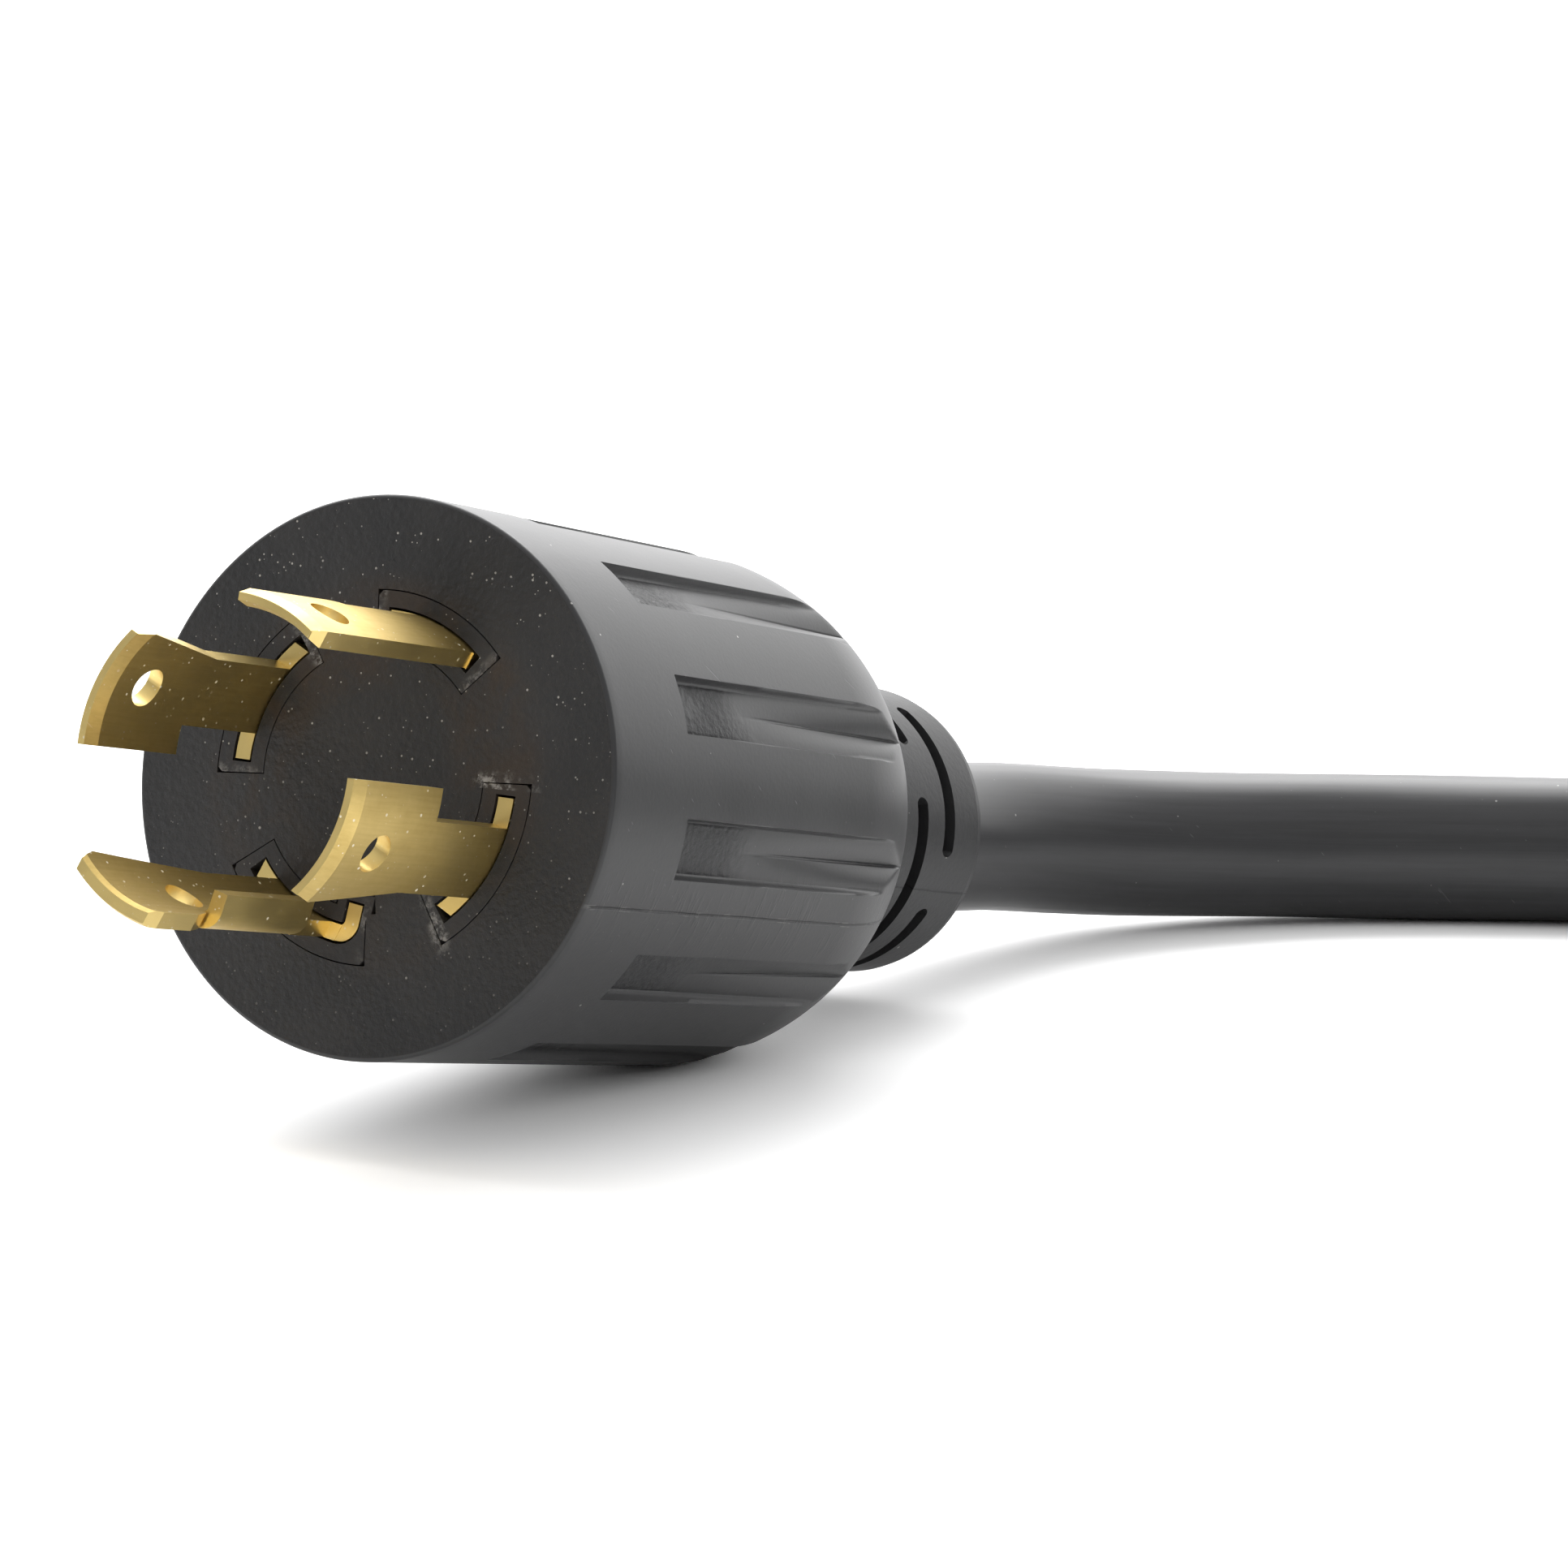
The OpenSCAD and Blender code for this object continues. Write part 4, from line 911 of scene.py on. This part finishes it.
def face_disc(name):
    """Disc with windows; returns the piece in the plug's frame."""
    extra = math.degrees(GROOVE / BLADE_MID)
    windows = [(BOSS_IN, BOSS_OUT, m - a - extra, m + b + extra) for m, a, b in BOSSES]
    windows.append(FLANGE_WINDOW)
    radii = sorted({0.0, 3.0, 6.0, 9.0, 21.0, 24.0, BODY_D / 2 - RIM, *(w[0] for w in windows),
                    *(w[1] for w in windows), BOSS_OUT - 0.45, 15.5})
    edges = {round(a % 360, 4) for w in windows for a in w[2:]}
    edges |= {round((a + s) % 360, 4) for w in windows[:4] for a, s in ((w[2], 1.5), (w[3], -1.5))}
    spare = {round(a, 4) for a in np.degrees(np.unwrap(np.radians(recess_angles())))[::2] % 360}
    angles = sorted(edges | {a for a in spare if min(abs(a - e) for e in edges) > 0.3})
    n = len(angles)
    b = bmesh.new()
    rings = [[b.verts.new((0, 0, 0))] * n]
    for r in radii[1:]:
        rings.append([b.verts.new((r * math.cos(a), r * math.sin(a), 0)) for a in np.radians(angles)])

    def open_cell(r, a):
        return any(w[0] < r < w[1] and (a - w[2]) % 360 < (w[3] - w[2]) % 360 for w in windows)

    for k in range(len(radii) - 1):
        for j in range(n):
            i = (j + 1) % n
            middle = angles[j] + ((angles[i] - angles[j]) % 360) / 2
            if open_cell((radii[k] + radii[k + 1]) / 2, middle % 360):
                continue
            corners = [rings[k][j], rings[k + 1][j], rings[k + 1][i], rings[k][i]]
            b.faces.new(list(dict.fromkeys(corners)))
    # the walls, in the same order in every run
    below = {}
    for edge in [e for e in b.edges if len(e.link_faces) == 1]:
        ends = [edge.link_loops[0].link_loop_next.vert, edge.link_loops[0].vert]
        if max(v.co.length for v in ends) < BODY_D / 2 - RIM - 1:
            for v in ends:
                below[v] = below.get(v) or b.verts.new(v.co - Vector((0, 0, 3)))
            b.faces.new((*ends, below[ends[1]], below[ends[0]]))
    for v in b.verts:
        v.co *= MM
    mesh = bpy.data.meshes.new(name)
    b.to_mesh(mesh)
    b.free()
    mesh.materials.append(face_finish)
    return linked(name, mesh)


plug_disc = face_disc("plug_disc")
print("face:", len(plug_disc.data.polygons), "faces")

# %% [markdown]
# ## Joining skin and face
# The two surfaces meet where the rim starts. Their points don't match everywhere, so a narrow lip of the
# grip reaches under the face's edge and closes the seam.

# %% Plug and connector bodies
def joined(name, parts, place, stand_for):
    """Joins meshes and their materials in their place, and lets the result stand for a CAD node."""
    mesh = bpy.data.meshes.new(name)
    b = bmesh.new()
    materials = []
    for part in parts:
        shift = len(materials)
        materials += list(part.data.materials)
        start = len(b.faces)
        b.from_mesh(part.data)
        b.faces.ensure_lookup_table()
        for face in b.faces[start:]:
            face.material_index += shift
        bpy.data.objects.remove(part)
    for face in b.faces:
        face.smooth = True
    b.transform(place)
    if place.determinant() < 0:
        bmesh.ops.reverse_faces(b, faces=b.faces)
    b.to_mesh(mesh)
    b.free()
    for material in materials:
        mesh.materials.append(material)
    mesh.set_sharp_from_angle(angle=math.radians(38))
    made = linked(name, mesh)
    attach(made, "root")
    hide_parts(stand_for)
    return made


plug_moulding = joined("plug_moulding", [plug_skin, plug_disc], PLUG, "plug_body")
connector_moulding = joined("connector_moulding", [connector_skin], CONNECTOR, "connector_body")
print("plug moulding:", len(plug_moulding.data.polygons), "faces")

# %% [markdown]
# ## Floor and light
# The plug stands on a plain white table under a wide soft light. The pale studio round it is brighter
# behind and has a dark gap low in front, so that the satin skin has something to mirror. Light Path
# makes table and studio white to the camera with no more light on the plug, and the shadow stays.

# %% Floor, lights and white surroundings
FLOOR_HALF = 4000
floor = piece("floor", [(x * FLOOR_HALF, y * FLOOR_HALF, 0) for x, y in ((-1, -1), (1, -1), (1, 1), (-1, 1))],
              [(0, 1, 2, 3)])
table = bpy.data.materials.new("white table")
table.use_nodes = True
tree = table.node_tree
tree.nodes.remove(tree.nodes["Principled BSDF"])
seen = tree.nodes.new("ShaderNodeLightPath")
paper = noise(tree.nodes.new("ShaderNodeTexCoord").outputs["Object"], 3, 2)
mirrored = out(seen, "Is Glossy Ray").max(out(seen, "Is Transmission Ray"))
bright = blend_colour(mirrored, (0.80, 0.80, 0.80), (0.95, 0.95, 0.95))
bright = blend_colour(out(seen, "Is Camera Ray"), bright, (1.18, 1.18, 1.18))
soft = node(tree, "ShaderNodeBsdfDiffuse", {"Color": bright, "Roughness": paper * 0.1 + 0.4})
tree.links.new(soft.outputs[0], tree.nodes["Material Output"].inputs["Surface"])
floor.data.materials.append(table)

world = bpy.data.worlds.new("studio")
bpy.context.scene.world = world
world.use_nodes = True
tree = world.node_tree
background = tree.nodes["Background"]
where = node(tree, "ShaderNodeSeparateXYZ", {0: tree.nodes.new("ShaderNodeTexCoord").outputs["Generated"]})
x, y, z = out(where, 0), out(where, 1), out(where, 2)
depth = x * 0.85 + y * 0.52
overhead = z.ramp(0.02, 0.62, 0.28, 0.8)
gap = z.band(0.03, 0.07, 0.14) * depth.ramp(-0.1, 0.5, 0.85, 0)
behind = depth.ramp(0.0, 0.75, 0.0, 2.05)
studio = overhead * (1 - gap) + behind
seen = tree.nodes.new("ShaderNodeLightPath")
shown = node(tree, "ShaderNodeMix", {0: out(seen, "Is Camera Ray"), 2: studio, 3: 1.0}, data_type="FLOAT")
tree.links.new(shown.outputs[0], background.inputs["Strength"])
background.inputs["Color"].default_value = (1, 1, 1, 1)


def softbox(name, place, aim, wide, tall, power):
    lamp = bpy.data.lights.new(name, "AREA")
    lamp.shape, lamp.size, lamp.size_y, lamp.energy = "RECTANGLE", wide, tall, power
    made = bpy.data.objects.new(name, lamp)
    scene_objects.link(made)
    made.location = place
    made.rotation_mode = "QUATERNION"
    made.rotation_quaternion = (Vector(aim) - Vector(place)).to_track_quat("-Z", "Y")
    return made


softbox("overhead light", (0.38, 0.42, 0.72), (0.0, 0.0, 0.03), 1.2, 0.7, 12)
side_light = softbox("side light", (0.10, -0.85, 0.45), (0.0, 0.0, 0.03), 0.5, 0.4, 1.5)
side_light.visible_glossy = False
bpy.context.scene.view_settings.view_transform = "Standard"
